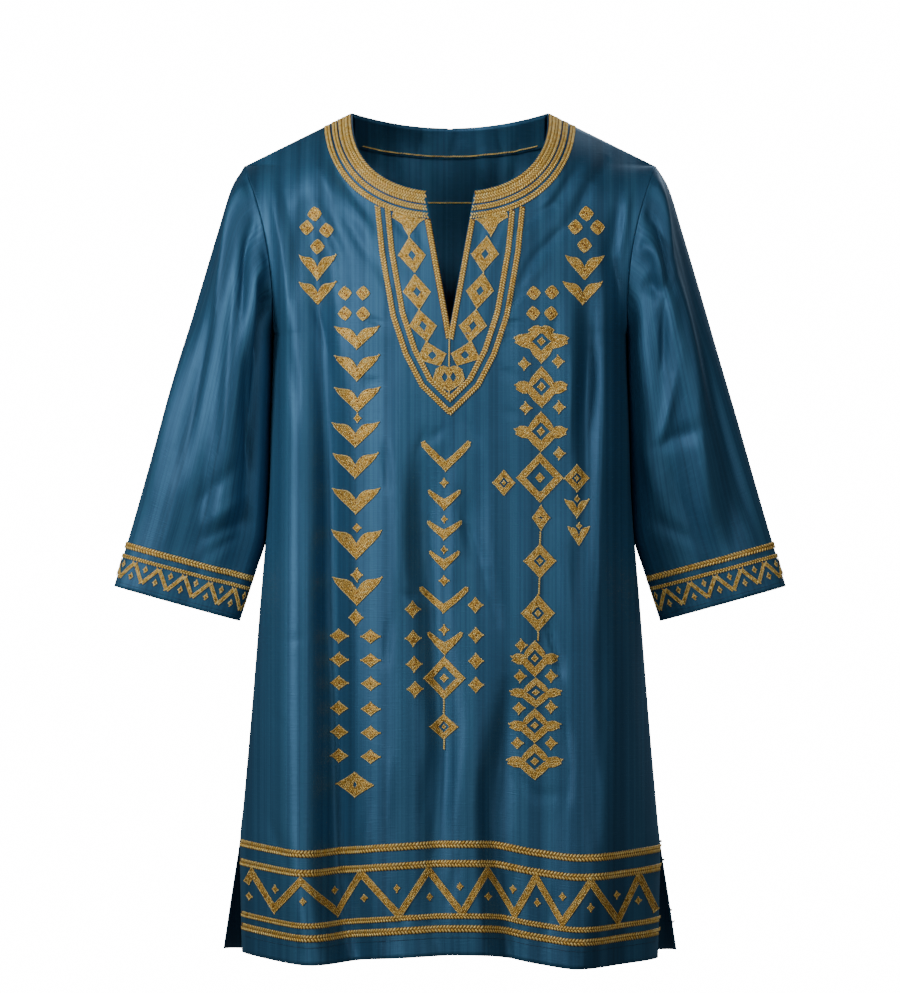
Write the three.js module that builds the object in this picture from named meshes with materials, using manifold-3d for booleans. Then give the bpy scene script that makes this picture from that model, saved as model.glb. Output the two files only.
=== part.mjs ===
// A hollow, filled-out tunic of thin silk: front, back, two straight sleeves, a back neck facing and the
// braids laid on them. Millimetres, +Z up, front towards -Y. The origin lies midway between the two highest
// shoulder points, where a wearer's shoulders or a hanger's bar would hold it.
import * as THREE from "three";
import { mergeVertices } from "three/addons/utils/BufferGeometryUtils.js";
import Module from "manifold-3d";

const wasm = await Module();
wasm.setup();

// ---- driving dimensions ----------------------------------------------------------------------------------

const CLOTH_THICKNESS = 1.5;
const SEAM_GAP = 0.4;
const BRAID_LIFT = 0.3;
const BRAID_THICKNESS = 1.2;
const BRAID_SPACING = 0.3;

const NECK = { halfWidth: 98, frontDrop: 82, backDrop: 12, squareness: 2.4 };
const SLIT = { halfWidth: 24, bottom: -215 };
const SHOULDER = { tipX: 205, tipZ: -53, roundOver: 70, roundPower: 2.4 };
const ARMHOLE = { bottomX: 177, bottomZ: -222, inwardBow: 10, squareness: 2.4 };
const ARMHOLE_REACH = { front: 55, back: 60 };
const SECTION_SQUARENESS = 2.3;
const VENT_TOP = -722;
const HEM = -835;

// Body sections: half width of each panel, how far its middle stands out from the side seams, and how far
// its side edges lean out of the seam plane below the vents.
const FRONT_LEVELS = [
  { z: 0, halfWidth: 178, reach: 62, edge: 0 },
  { z: -53, halfWidth: 178, reach: 74, edge: 0 },
  { z: -82, halfWidth: 178, reach: 81, edge: 0 },
  { z: -140, halfWidth: 178, reach: 97, edge: 0 },
  { z: -222, halfWidth: 177, reach: 112, edge: 0 },
  { z: -319, halfWidth: 180, reach: 111, edge: 0 },
  { z: -391, halfWidth: 182, reach: 106, edge: 0 },
  { z: -492, halfWidth: 190, reach: 106, edge: 0 },
  { z: -592, halfWidth: 198, reach: 110, edge: 0 },
  { z: -692, halfWidth: 207, reach: 115, edge: 0 },
  { z: VENT_TOP, halfWidth: 210, reach: 117, edge: 0 },
  { z: -780, halfWidth: 209, reach: 120, edge: 14 },
  { z: -860, halfWidth: 207, reach: 124, edge: 20 },
];
const BACK_LEVELS = [
  { z: 0, halfWidth: 178, reach: 58, edge: 0 },
  { z: -53, halfWidth: 178, reach: 74, edge: 0 },
  { z: -120, halfWidth: 178, reach: 92, edge: 0 },
  { z: -222, halfWidth: 177, reach: 97, edge: 0 },
  { z: -319, halfWidth: 180, reach: 90, edge: 0 },
  { z: -391, halfWidth: 182, reach: 84, edge: 0 },
  { z: -492, halfWidth: 190, reach: 86, edge: 0 },
  { z: -592, halfWidth: 198, reach: 92, edge: 0 },
  { z: -692, halfWidth: 207, reach: 98, edge: 0 },
  { z: VENT_TOP, halfWidth: 210, reach: 100, edge: 0 },
  { z: -780, halfWidth: 219, reach: 104, edge: 12 },
  { z: -860, halfWidth: 231, reach: 109, edge: 20 },
];

// Long soft folds. Each runs from its top, where it fades out, to the hem, where it is fullest; a positive
// depth is a ridge and a negative one a trough.
const FRONT_FOLDS = [
  { topZ: -330, topX: -118, hemX: -146, depth: 15, topSpread: 18, hemSpread: 27 },
  { topZ: -360, topX: -84, hemX: -93, depth: -9, topSpread: 14, hemSpread: 24 },
  { topZ: -520, topX: -30, hemX: -22, depth: 5, topSpread: 20, hemSpread: 30 },
  { topZ: -500, topX: 54, hemX: 62, depth: -7, topSpread: 16, hemSpread: 26 },
  { topZ: -300, topX: 112, hemX: 124, depth: 16, topSpread: 20, hemSpread: 28 },
  { topZ: -340, topX: 158, hemX: 172, depth: -8, topSpread: 12, hemSpread: 17 },
];
const BACK_FOLDS = [
  { topZ: -280, topX: -112, hemX: -132, depth: 13, topSpread: 18, hemSpread: 30 },
  { topZ: -360, topX: -58, hemX: -66, depth: -8, topSpread: 15, hemSpread: 25 },
  { topZ: -300, topX: 6, hemX: 12, depth: 11, topSpread: 18, hemSpread: 30 },
  { topZ: -420, topX: 70, hemX: 80, depth: -9, topSpread: 15, hemSpread: 24 },
  { topZ: -340, topX: 126, hemX: 146, depth: 12, topSpread: 17, hemSpread: 27 },
];

// How far the hem and its braids drop where the cloth flutes, faded in between two heights.
const SAG_FROM = -540;
const SAG_FULL = VENT_TOP;
const FRONT_SAG = [
  { x: -212, drop: 2 },
  { x: -140, drop: 10 },
  { x: -62, drop: 3 },
  { x: -10, drop: 0 },
  { x: 40, drop: 0.5 },
  { x: 83, drop: 8 },
  { x: 128, drop: 13 },
  { x: 212, drop: 8 },
];
const BACK_SAG = [
  { x: -235, drop: 1 },
  { x: -132, drop: 9 },
  { x: -66, drop: 2 },
  { x: 12, drop: 8 },
  { x: 80, drop: 1 },
  { x: 146, drop: 10 },
  { x: 235, drop: 2 },
];

// Sleeve sections, the armhole first and the cuff last: the outer and the inner end of each section and how
// far it stands to the front and the back.
const SLEEVE_SECTIONS = [
  { outerX: 219, outerZ: -74, innerX: 181, innerZ: -234, front: 58, back: 62 },
  { outerX: 233, outerZ: -119, innerX: 185, innerZ: -268, front: 60, back: 63 },
  { outerX: 250, outerZ: -177, innerX: 187, innerZ: -310, front: 58, back: 59 },
  { outerX: 268, outerZ: -240, innerX: 188, innerZ: -352, front: 54, back: 55 },
  { outerX: 286, outerZ: -301, innerX: 188, innerZ: -392, front: 49, back: 50 },
  { outerX: 303, outerZ: -361, innerX: 189, innerZ: -427, front: 41, back: 42 },
  { outerX: 320, outerZ: -420, innerX: 194, innerZ: -456, front: 32, back: 33 },
  { outerX: 336, outerZ: -473, innerX: 210, innerZ: -508, front: 26, back: 27 },
];
const CUFF_STRETCH = 55;

// Braids that run round the hem and the cuffs: the two edges of each, as heights or as distances above the
// cuff's edge.
const HEM_BRAIDS = [
  { top: VENT_TOP, bottom: -729.6 },
  { top: -741, bottom: -748.4 },
  { top: -793.2, bottom: -799 },
  { top: -804.8, bottom: -812.2 },
];
const CUFF_BRAIDS = [
  { name: "wide", top: 46.3, bottom: 39.7 },
  { name: "narrow", top: 34.3, bottom: 30.3 },
];
// Braids that follow the neck edge, as distances from it.
const NECK_BAND = { from: 0.6, to: 20.5 };
const NECK_CORD = { from: 22, to: 28 };
const BACK_BAND = { from: 0.6, to: 15 };
const BACK_CORD = { from: 17, to: 23 };
const SLIT_BRAID = { width: 5.6, point: -230 };
// The bib's two braids, each a V down the chest: the middle of each braid, from the neck to its tip.
const BIB_BRAID_WIDTH = 5.4;
const BIB_SPACING = 9.6;
const BIB_LINE = [
  { x: 72, z: -94 },
  { x: 67, z: -142 },
  { x: 56, z: -205 },
  { x: 43.5, z: -243 },
  { x: 27.5, z: -274 },
  { x: 0, z: -301 },
];
const FACING_DEPTH = 31;

const COLUMNS = 12;
const BACK_COLUMNS = 10;
const ARMHOLE_STEPS = 12;
const FRONT_NECK_STEPS = 7;
const BACK_NECK_STEPS = 6;

// ---- interpolation ----------------------------------------------------------------------------------------

// The value of a column between the rows of a table, on a smooth curve through them (cubic Hermite).
function along(table, by, column, at) {
  const rising = table[table.length - 1][by] > table[0][by];
  const rows = rising ? table : [...table].reverse();
  const last = rows.length - 1;
  const place = THREE.MathUtils.clamp(at, rows[0][by], rows[last][by]);
  let i = 0;
  while (i < last - 1 && place > rows[i + 1][by]) i += 1;
  const slope = (j) => {
    const a = rows[Math.max(j - 1, 0)];
    const b = rows[Math.min(j + 1, last)];
    return (b[column] - a[column]) / (b[by] - a[by]);
  };
  const span = rows[i + 1][by] - rows[i][by];
  const t = (place - rows[i][by]) / span;
  return (
    (2 * t ** 3 - 3 * t ** 2 + 1) * rows[i][column] +
    (t ** 3 - 2 * t ** 2 + t) * span * slope(i) +
    (3 * t ** 2 - 2 * t ** 3) * rows[i + 1][column] +
    (t ** 3 - t ** 2) * span * slope(i + 1)
  );
}

// The other coordinate of a unit superellipse.
function bulge(s, squareness) {
  return Math.max(0, 1 - Math.abs(s) ** squareness) ** (1 / squareness);
}

const shoulderSlope = -SHOULDER.tipZ / (SHOULDER.tipX - NECK.halfWidth);

// ---- the body surface -------------------------------------------------------------------------------------

const FRONT = { sign: -1, levels: FRONT_LEVELS, folds: FRONT_FOLDS, sag: FRONT_SAG, reach: "front" };
const BACK = { sign: 1, levels: BACK_LEVELS, folds: BACK_FOLDS, sag: BACK_SAG, reach: "back" };

// The armhole's seam at an angle from the shoulder tip (0) to the underarm (PI), on the wearer's +X side.
function armholePoint(angle, reach) {
  const s = Math.cos(angle);
  const middleX = (SHOULDER.tipX + ARMHOLE.bottomX) / 2;
  const middleZ = (SHOULDER.tipZ + ARMHOLE.bottomZ) / 2;
  return {
    x: middleX + ((SHOULDER.tipX - ARMHOLE.bottomX) / 2) * s - ARMHOLE.inwardBow * (1 - s * s),
    z: middleZ + ((SHOULDER.tipZ - ARMHOLE.bottomZ) / 2) * s,
    out: reach * bulge(s, ARMHOLE.squareness),
  };
}

// A panel's side edge at a height: where it lies and how far it has come out of the seam plane.
function sideEdge(panel, z) {
  if (z >= SHOULDER.tipZ) return { x: SHOULDER.tipX, out: 0 };
  if (z > ARMHOLE.bottomZ) {
    const s = 1 - (2 * (SHOULDER.tipZ - z)) / (SHOULDER.tipZ - ARMHOLE.bottomZ);
    return armholePoint(Math.acos(s), ARMHOLE_REACH[panel.reach]);
  }
  return { x: along(panel.levels, "z", "halfWidth", z), out: along(panel.levels, "z", "edge", z) };
}

// Ridges and troughs: a bell across each fold, faded in from its top to the hem.
function foldHeight(panel, x, z) {
  return panel.folds.reduce((sum, fold) => {
    const t = THREE.MathUtils.clamp((fold.topZ - z) / (fold.topZ - HEM), 0, 1);
    const middle = THREE.MathUtils.lerp(fold.topX, fold.hemX, t);
    const spread = THREE.MathUtils.lerp(fold.topSpread, fold.hemSpread, t);
    return sum + fold.depth * t ** 1.2 * Math.exp(-(((x - middle) / spread) ** 2));
  }, 0);
}

// How far a panel stands out of the seam plane at a place on it: a superellipse between the side edges that
// rounds over to nothing at the shoulder seam and meets the edge where that stands out, and the folds.
function standOut(panel, x, z) {
  const edge = sideEdge(panel, z);
  const across = Math.min(Math.abs(x) / edge.x, 1);
  const shoulderZ = -shoulderSlope * (Math.abs(x) - NECK.halfWidth);
  const below = THREE.MathUtils.clamp((shoulderZ - z) / SHOULDER.roundOver, 0, 1);
  const rounded = 1 - (1 - below) ** SHOULDER.roundPower;
  const section = bulge(across, SECTION_SQUARENESS);
  const middle = along(panel.levels, "z", "reach", z) * rounded * section;
  return Math.hypot(middle, edge.out * across ** 4) + foldHeight(panel, x, z) * section;
}

// The point of a panel at a width and a height of the flat cut.
function panelPoint(panel, x, z) {
  const fluted = THREE.MathUtils.smoothstep(-z, -SAG_FROM, -SAG_FULL);
  const drop = along(panel.sag, "x", "drop", x) * fluted;
  return new THREE.Vector3(x, panel.sign * (standOut(panel, x, z) + SEAM_GAP / 2), z - drop);
}

// ---- walls from grids of points -----------------------------------------------------------------------------

// Joins grids of points into one surface, gives each point its normal (or the one pinned to it), and closes
// the surface into a wall from `outer` to `inner` along those normals.
function wallOf(grids, outer, inner) {
  const points = [];
  const pinned = [];
  const faces = [];
  const places = new Map();
  const indexOf = (node) => {
    const key = [node.point.x, node.point.y, node.point.z].map((v) => Math.round(v * 1000)).join();
    if (!places.has(key)) {
      places.set(key, points.length);
      points.push(node.point);
      pinned.push(node.normal);
    }
    return places.get(key);
  };
  const addFace = (a, b, c) => {
    if (a !== b && b !== c && a !== c) faces.push([a, b, c]);
  };
  for (const { rows, flipped } of grids) {
    const index = rows.map((row) => row.map(indexOf));
    for (let i = 0; i + 1 < rows.length; i += 1) {
      for (let j = 0; j + 1 < rows[i].length; j += 1) {
        const [a, b, c, d] = [index[i][j], index[i][j + 1], index[i + 1][j + 1], index[i + 1][j]];
        if (flipped) {
          addFace(a, c, b);
          addFace(a, d, c);
        } else {
          addFace(a, b, c);
          addFace(a, c, d);
        }
      }
    }
  }
  const normals = points.map(() => new THREE.Vector3());
  for (const [a, b, c] of faces) {
    const normal = points[b].clone().sub(points[a]).cross(points[c].clone().sub(points[a]));
    for (const i of [a, b, c]) normals[i].add(normal);
  }
  normals.forEach((normal, i) => (pinned[i] ? normal.copy(pinned[i]) : normal.normalize()));
  const edges = new Set(faces.flatMap(([a, b, c]) => [`${a} ${b}`, `${b} ${c}`, `${c} ${a}`]));
  const count = points.length;
  const triangles = faces.flatMap(([a, b, c]) => [a, b, c, c + count, b + count, a + count]);
  for (const edge of edges) {
    const [a, b] = edge.split(" ").map(Number);
    if (!edges.has(`${b} ${a}`)) triangles.push(a, a + count, b, b, a + count, b + count);
  }
  const shell = [outer, inner].flatMap((offset) =>
    points.map((point, i) => point.clone().addScaledVector(normals[i], offset)),
  );
  const geometry = new THREE.BufferGeometry().setFromPoints(shell);
  geometry.setIndex(triangles);
  return geometry;
}

function clothWall(grids) {
  return wallOf(grids, 0, -CLOTH_THICKNESS);
}

function braidWall(grids) {
  return wallOf(grids, BRAID_LIFT + BRAID_THICKNESS, BRAID_LIFT);
}

// ---- solids for the cuts ------------------------------------------------------------------------------------

function toSolid(geometry) {
  const bare = geometry.clone();
  bare.deleteAttribute("normal");
  bare.deleteAttribute("uv");
  const merged = mergeVertices(bare, 1e-4);
  return new wasm.Manifold(
    new wasm.Mesh({
      numProp: 3,
      vertProperties: merged.getAttribute("position").array,
      triVerts: new Uint32Array(merged.index.array),
    }),
  );
}

function toGeometry(solid) {
  const mesh = solid.getMesh();
  const geometry = new THREE.BufferGeometry();
  geometry.setAttribute("position", new THREE.BufferAttribute(new Float32Array(mesh.vertProperties), 3));
  geometry.setIndex(new THREE.BufferAttribute(new Uint32Array(mesh.triVerts), 1));
  return geometry;
}

// An outline drawn across the garment, as a prism that runs from the seam plane out through one panel.
function prismThrough(panel, outline) {
  const shape = new THREE.Shape(outline.map(({ x, z }) => new THREE.Vector2(x, z)));
  const depth = 200;
  const geometry = new THREE.ExtrudeGeometry(shape, { depth, bevelEnabled: false, steps: 1 });
  geometry.rotateX(Math.PI / 2);
  if (panel.sign > 0) geometry.translate(0, depth, 0);
  return toSolid(geometry);
}

// ---- cutting the panels ---------------------------------------------------------------------------------------

// Outward normal pinned where the body and a sleeve meet, over the top and the front of the armhole.
function armholeNormal(side, sign, angle) {
  const s = Math.cos(angle);
  const c = Math.sin(angle);
  return new THREE.Vector3(side * (0.66 * s + 0.33 * c), sign * 0.92 * c, 0.75 * s + 0.17 * c).normalize();
}

function shoulderNormal(side) {
  return new THREE.Vector3(side * shoulderSlope, 0, 1).normalize();
}

const PINNED_ANGLE = Math.PI * 0.56;

// The front's inner edge, from the highest shoulder point along the neck and down the slit.
function frontInnerEdge(step) {
  const endAngle = Math.acos((SLIT.halfWidth / NECK.halfWidth) ** (NECK.squareness / 2));
  const neckPoint = (angle) => ({
    x: NECK.halfWidth * Math.cos(angle) ** (2 / NECK.squareness),
    z: -NECK.frontDrop * Math.sin(angle) ** (2 / NECK.squareness),
  });
  if (step <= FRONT_NECK_STEPS) return neckPoint((endAngle * step) / FRONT_NECK_STEPS);
  const corner = neckPoint(endAngle);
  const t = (step - FRONT_NECK_STEPS) / (ARMHOLE_STEPS - FRONT_NECK_STEPS);
  return { x: corner.x * (1 - t), z: THREE.MathUtils.lerp(corner.z, SLIT.bottom, t) };
}

// The back's inner edge, from the highest shoulder point along the neck and down the centre line.
function backInnerEdge(step) {
  const t = Math.min(step / BACK_NECK_STEPS, 1);
  const x = NECK.halfWidth * Math.cos((t * Math.PI) / 2);
  if (step <= BACK_NECK_STEPS) return { x, z: -NECK.backDrop * (1 - (x / NECK.halfWidth) ** 2) };
  const down = (step - BACK_NECK_STEPS) / (ARMHOLE_STEPS - BACK_NECK_STEPS);
  return { x: 0, z: THREE.MathUtils.lerp(-NECK.backDrop, ARMHOLE.bottomZ, down) };
}

// One half of a panel: rows that swing from the shoulder seam to level, then level rows down to the hem.
function halfPanel(panel, side, columns, innerEdge, levelRows) {
  const share = (k) => Math.sin(((k / columns) * Math.PI) / 2);
  const rows = [];
  for (let step = 0; step <= ARMHOLE_STEPS; step += 1) {
    const angle = (step / ARMHOLE_STEPS) * Math.PI;
    const from = innerEdge(step);
    const to = armholePoint(angle, ARMHOLE_REACH[panel.reach]);
    rows.push(
      Array.from({ length: columns + 1 }, (_, k) => {
        const x = THREE.MathUtils.lerp(from.x, to.x, share(k));
        const z = THREE.MathUtils.lerp(from.z, to.z, share(k));
        const point = panelPoint(panel, side * x, z);
        if (k === columns && angle < PINNED_ANGLE) {
          return { point, normal: armholeNormal(side, panel.sign, angle) };
        }
        return step === 0 ? { point, normal: shoulderNormal(side) } : { point };
      }),
    );
  }
  for (const z of levelRows) {
    const width = sideEdge(panel, z).x;
    rows.push(
      Array.from({ length: columns + 1 }, (_, k) => ({ point: panelPoint(panel, side * width * share(k), z) })),
    );
  }
  return { rows, flipped: side * panel.sign < 0 };
}

const braidRows = HEM_BRAIDS.flatMap(({ top, bottom }) => [top, bottom]);
const plainRows = [-252, -295, -345, -400, -455, -510, -560, -610, -655, -692, -770, HEM];
const bodyRows = [...plainRows, ...braidRows].sort((a, b) => b - a);

function panelGrids(panel, columns, innerEdge) {
  return [-1, 1].map((side) => halfPanel(panel, side, columns, innerEdge, bodyRows));
}

const frontGrids = panelGrids(FRONT, COLUMNS, frontInnerEdge);
const backGrids = panelGrids(BACK, BACK_COLUMNS, backInnerEdge);

// The strip of a panel between two of its level rows.
function stripOf(grids, top, bottom) {
  const first = ARMHOLE_STEPS + 1 + bodyRows.indexOf(top);
  const last = ARMHOLE_STEPS + 1 + bodyRows.indexOf(bottom);
  return grids.map(({ rows, flipped }) => ({ rows: rows.slice(first, last + 1), flipped }));
}

// ---- sleeves --------------------------------------------------------------------------------------------------

const AROUND = 2 * ARMHOLE_STEPS;

// A point of the sleeve between its armhole (0) and its cuff (1), at a step round it.
function sleevePoint(side, place, step) {
  const angle = (step / AROUND) * 2 * Math.PI;
  const front = step <= ARMHOLE_STEPS;
  const reach = front ? "front" : "back";
  const s = Math.cos(angle);
  const sections = SLEEVE_SECTIONS.map((section, i) => ({ ...section, at: i + 1 }));
  const first = armholePoint(Math.acos(s), ARMHOLE_REACH[reach]);
  const ring = (section) => ({
    at: section.at,
    x: (section.outerX + section.innerX) / 2 + ((section.outerX - section.innerX) / 2) * s,
    z: (section.outerZ + section.innerZ) / 2 + ((section.outerZ - section.innerZ) / 2) * s,
    out: section[reach] * bulge(s, ARMHOLE.squareness),
  });
  const rings = [{ at: 0, x: first.x + SEAM_GAP, z: first.z, out: first.out }, ...sections.map(ring)];
  const at = place * SLEEVE_SECTIONS.length;
  const [x, z, out] = ["x", "z", "out"].map((column) => along(rings, "at", column, at));
  return new THREE.Vector3(side * x, front ? -out : out, z);
}

const sleeveCount = SLEEVE_SECTIONS.length;
const cuffPlace = (distance) => 1 - distance / CUFF_STRETCH / sleeveCount;
const cuffEdges = CUFF_BRAIDS.flatMap(({ top, bottom }) => [cuffPlace(top), cuffPlace(bottom)]);
const sleevePlaces = [0, 0.5, 1, 1.5, 2, 2.5, 3, 3.6, 4.2, 4.8, 5.4, 6, 6.5, 7]
  .map((at) => at / sleeveCount)
  .concat(cuffEdges, 1)
  .sort((a, b) => a - b);

function sleeveGrid(side, places) {
  const rows = places.map((place) =>
    Array.from({ length: AROUND + 1 }, (_, j) => {
      const step = j % AROUND;
      const point = sleevePoint(side, place, step);
      const angle = (Math.min(step, AROUND - step) / AROUND) * 2 * Math.PI;
      if (place > 0 || angle >= PINNED_ANGLE) return { point };
      return { point, normal: armholeNormal(side, step <= ARMHOLE_STEPS ? -1 : 1, angle) };
    }),
  );
  return { rows, flipped: side < 0 };
}

// The ring of a sleeve's own points between two places, with the sleeve's own normals below the armhole.
function sleeveBraid(side, { top, bottom }) {
  return sleeveGrid(side, [cuffPlace(top), cuffPlace(bottom)]);
}

// ---- braids on the neck, the slit and the bib -----------------------------------------------------------------

// A line moved sideways by a distance, with mitred corners, towards its own left as it runs.
function beside(line, distance) {
  return line.map((point, i) => {
    const before = line[Math.max(i - 1, 0)];
    const after = line[Math.min(i + 1, line.length - 1)];
    const a = new THREE.Vector2(point.x - before.x, point.z - before.z).normalize();
    const b = new THREE.Vector2(after.x - point.x, after.z - point.z).normalize();
    if (i === 0) a.copy(b);
    if (i === line.length - 1) b.copy(a);
    const across = new THREE.Vector2(-(a.y + b.y), a.x + b.x).normalize();
    const mitre = distance / Math.max(across.dot(new THREE.Vector2(-a.y, a.x)), 0.35);
    return { x: point.x + across.x * mitre, z: point.z + across.y * mitre };
  });
}

function bandOutline(line, from, to) {
  return [...beside(line, from), ...beside(line, to).reverse()];
}

const mirrored = (line) => line.map(({ x, z }) => ({ x: -x, z }));

// The braid over a panel inside an outline: the panel's own points, moved out, and cut along the outline.
function braidInside(panel, grids, outline, keptClear) {
  const whole = prismThrough(panel, outline);
  const cutter = keptClear ? whole.subtract(prismThrough(panel, keptClear)) : whole;
  return toGeometry(toSolid(braidWall(grids)).intersect(cutter));
}

const frontNeckLine = Array.from({ length: 19 }, (_, i) => frontInnerEdge((i / 18) * FRONT_NECK_STEPS));
const backNeckHalf = Array.from({ length: 10 }, (_, i) => backInnerEdge((i / 9) * BACK_NECK_STEPS));
const backNeckLine = [...backNeckHalf, ...mirrored(backNeckHalf).reverse().slice(1)];

// The neck line with its upper end carried straight up, so that a band beside it is cut by the shoulder seam.
function carriedUp(line, rise) {
  return [{ x: line[0].x, z: line[0].z + rise }, ...line];
}

function frontNeckBand(side, { from, to }) {
  const line = carriedUp(frontNeckLine, 20);
  const end = line[line.length - 1];
  const trimmed = [...line.slice(0, -1), { x: end.x + BRAID_SPACING, z: end.z }];
  const outline = bandOutline(trimmed, from, to);
  return braidInside(FRONT, frontGrids, side > 0 ? outline : mirrored(outline));
}

function backNeckBand({ from, to }) {
  const wide = to + 30;
  const inner = beside(backNeckLine, from);
  const outer = beside(backNeckLine, to);
  const outline = [{ x: wide + 98, z: 30 }, ...inner, { x: -wide - 98, z: 30 }, ...outer.reverse()];
  return braidInside(BACK, backGrids, outline);
}

// The slit's braid: down one edge to a point below the slit and up the other.
function slitBraid() {
  const corner = frontInnerEdge(FRONT_NECK_STEPS);
  const top = corner.z - NECK_CORD.to - 1.5;
  const edgeAt = (z) => (corner.x * (z - SLIT.bottom)) / (corner.z - SLIT.bottom);
  const edge = 0.6;
  const right = [
    { x: edgeAt(top) + edge, z: top },
    { x: edge, z: SLIT.bottom },
  ];
  const outside = [
    { x: edgeAt(top) + edge + SLIT_BRAID.width, z: top },
    { x: SLIT_BRAID.width + edge, z: SLIT.bottom },
    { x: 0, z: SLIT_BRAID.point },
  ];
  const outline = [...mirrored(right), { x: 0, z: SLIT.bottom - 3 }, ...right.reverse()];
  outline.push(...outside, ...mirrored(outside).reverse().slice(1));
  return braidInside(FRONT, frontGrids, outline);
}

// One of the bib's braids: a V whose arms start below the neck's braid.
function bibBraid(inset) {
  const middle = [...BIB_LINE, ...mirrored(BIB_LINE).reverse().slice(1)];
  const half = BIB_BRAID_WIDTH / 2;
  const wholeNeck = [...frontNeckLine, ...mirrored(frontNeckLine).reverse()];
  const neckBraids = bandOutline(wholeNeck, -10, NECK_CORD.to + BRAID_SPACING);
  return braidInside(FRONT, frontGrids, bandOutline(middle, -inset - half, -inset + half), neckBraids);
}

// The back neck's facing: a narrow wall inside the back, along the neck edge.
function backFacing() {
  const inner = wallOf(backGrids, -CLOTH_THICKNESS - SEAM_GAP, -2 * CLOTH_THICKNESS - SEAM_GAP);
  const half = 92;
  const line = backNeckLine.filter(({ x }) => Math.abs(x) <= half);
  const outline = bandOutline(line, 0.5, FACING_DEPTH);
  return toGeometry(toSolid(inner).intersect(prismThrough(BACK, outline)));
}

// ---- the garment ------------------------------------------------------------------------------------------------

const silk = (color) => new THREE.MeshStandardMaterial({ color, roughness: 0.45, metalness: 0 });
const goldBraid = () => new THREE.MeshStandardMaterial({ color: 0xa8844a, roughness: 0.55, metalness: 0.3 });

const group = new THREE.Group();

function add(name, geometry, material) {
  const mesh = new THREE.Mesh(geometry, material);
  mesh.name = name;
  group.add(mesh);
}

add("front", clothWall(frontGrids), silk(0x315c79));
add("back", clothWall(backGrids), silk(0x315c79));
add("back_facing", backFacing(), silk(0x2b526c));
for (const [name, side] of [
  ["right", -1],
  ["left", 1],
]) {
  add(`sleeve_${name}`, clothWall([sleeveGrid(side, sleevePlaces)]), silk(0x3a6480));
  add(`neck_band_${name}`, frontNeckBand(side, NECK_BAND), goldBraid());
  add(`neck_cord_${name}`, frontNeckBand(side, NECK_CORD), goldBraid());
  for (const braid of CUFF_BRAIDS) {
    add(`cuff_braid_${braid.name}_${name}`, braidWall([sleeveBraid(side, braid)]), goldBraid());
  }
}
add("neck_band_back", backNeckBand(BACK_BAND), goldBraid());
add("neck_cord_back", backNeckBand(BACK_CORD), goldBraid());
add("slit_braid", slitBraid(), goldBraid());
add("bib_braid_outer", bibBraid(0), goldBraid());
add("bib_braid_inner", bibBraid(BIB_SPACING), goldBraid());
HEM_BRAIDS.forEach(({ top, bottom }, i) => {
  add(`hem_braid_front_${i + 1}`, braidWall(stripOf(frontGrids, top, bottom)), goldBraid());
  add(`hem_braid_back_${i + 1}`, braidWall(stripOf(backGrids, top, bottom)), goldBraid());
});

export default group;
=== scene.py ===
"""Embroidered tunic: slubbed silk, plaited gold braids and gold-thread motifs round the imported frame.

Cut places are millimetres on the hung garment: x to the wearer's left, z up from the shoulder points.
Everything that lies on the cloth is worked out from the cloth's own surface and moved out of it.
"""

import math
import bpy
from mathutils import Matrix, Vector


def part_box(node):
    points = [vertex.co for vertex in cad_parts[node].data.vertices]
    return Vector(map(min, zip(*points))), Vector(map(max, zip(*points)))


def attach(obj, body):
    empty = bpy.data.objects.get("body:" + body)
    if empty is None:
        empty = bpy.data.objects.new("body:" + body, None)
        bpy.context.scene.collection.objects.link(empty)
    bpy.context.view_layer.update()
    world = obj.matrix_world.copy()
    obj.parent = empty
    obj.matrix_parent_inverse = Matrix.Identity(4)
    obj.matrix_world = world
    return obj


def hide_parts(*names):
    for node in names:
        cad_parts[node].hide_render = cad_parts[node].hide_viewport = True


bl_info = {
    "name": "Embroidered Tunic",
    "version": (1, 0, 0),
    "blender": (4, 5, 0),
    "location": "View3D > Sidebar > Tunic",
    "description": "Builds a silk tunic with gold braids and embroidery around its packed frame",
    "category": "Object",
}

import bpy
import numpy as np
from mathutils import Vector

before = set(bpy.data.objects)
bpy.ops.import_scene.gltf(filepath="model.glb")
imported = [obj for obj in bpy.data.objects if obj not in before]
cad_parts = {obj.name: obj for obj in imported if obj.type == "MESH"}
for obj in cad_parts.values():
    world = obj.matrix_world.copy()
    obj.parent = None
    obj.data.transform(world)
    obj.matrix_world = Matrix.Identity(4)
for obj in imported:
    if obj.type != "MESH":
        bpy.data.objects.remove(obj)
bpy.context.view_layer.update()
METRES = 0.001

# ---- sizes of the cut, the same as in the part's source (mm) ----

SEAM_GAP = 0.4
NECK_HALF_WIDTH = 98
NECK_FRONT_DROP = 82
NECK_BACK_DROP = 12
NECK_SQUARENESS = 2.4
SLIT_HALF_WIDTH = 24
SLIT_BOTTOM = -215
SHOULDER_TIP_X = 205
SHOULDER_TIP_Z = -53
SHOULDER_ROUND_OVER = 70
SHOULDER_ROUND_POWER = 2.4
SHOULDER_SLOPE = -SHOULDER_TIP_Z / (SHOULDER_TIP_X - NECK_HALF_WIDTH)
ARMHOLE_BOTTOM_X = 177
ARMHOLE_BOTTOM_Z = -222
ARMHOLE_BOW = 10
ARMHOLE_SQUARENESS = 2.4
FRONT_ARMHOLE_REACH = 55
BACK_ARMHOLE_REACH = 60
SECTION_SQUARENESS = 2.3
VENT_TOP = -722
HEM = -835
SAG_FROM = -540

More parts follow.
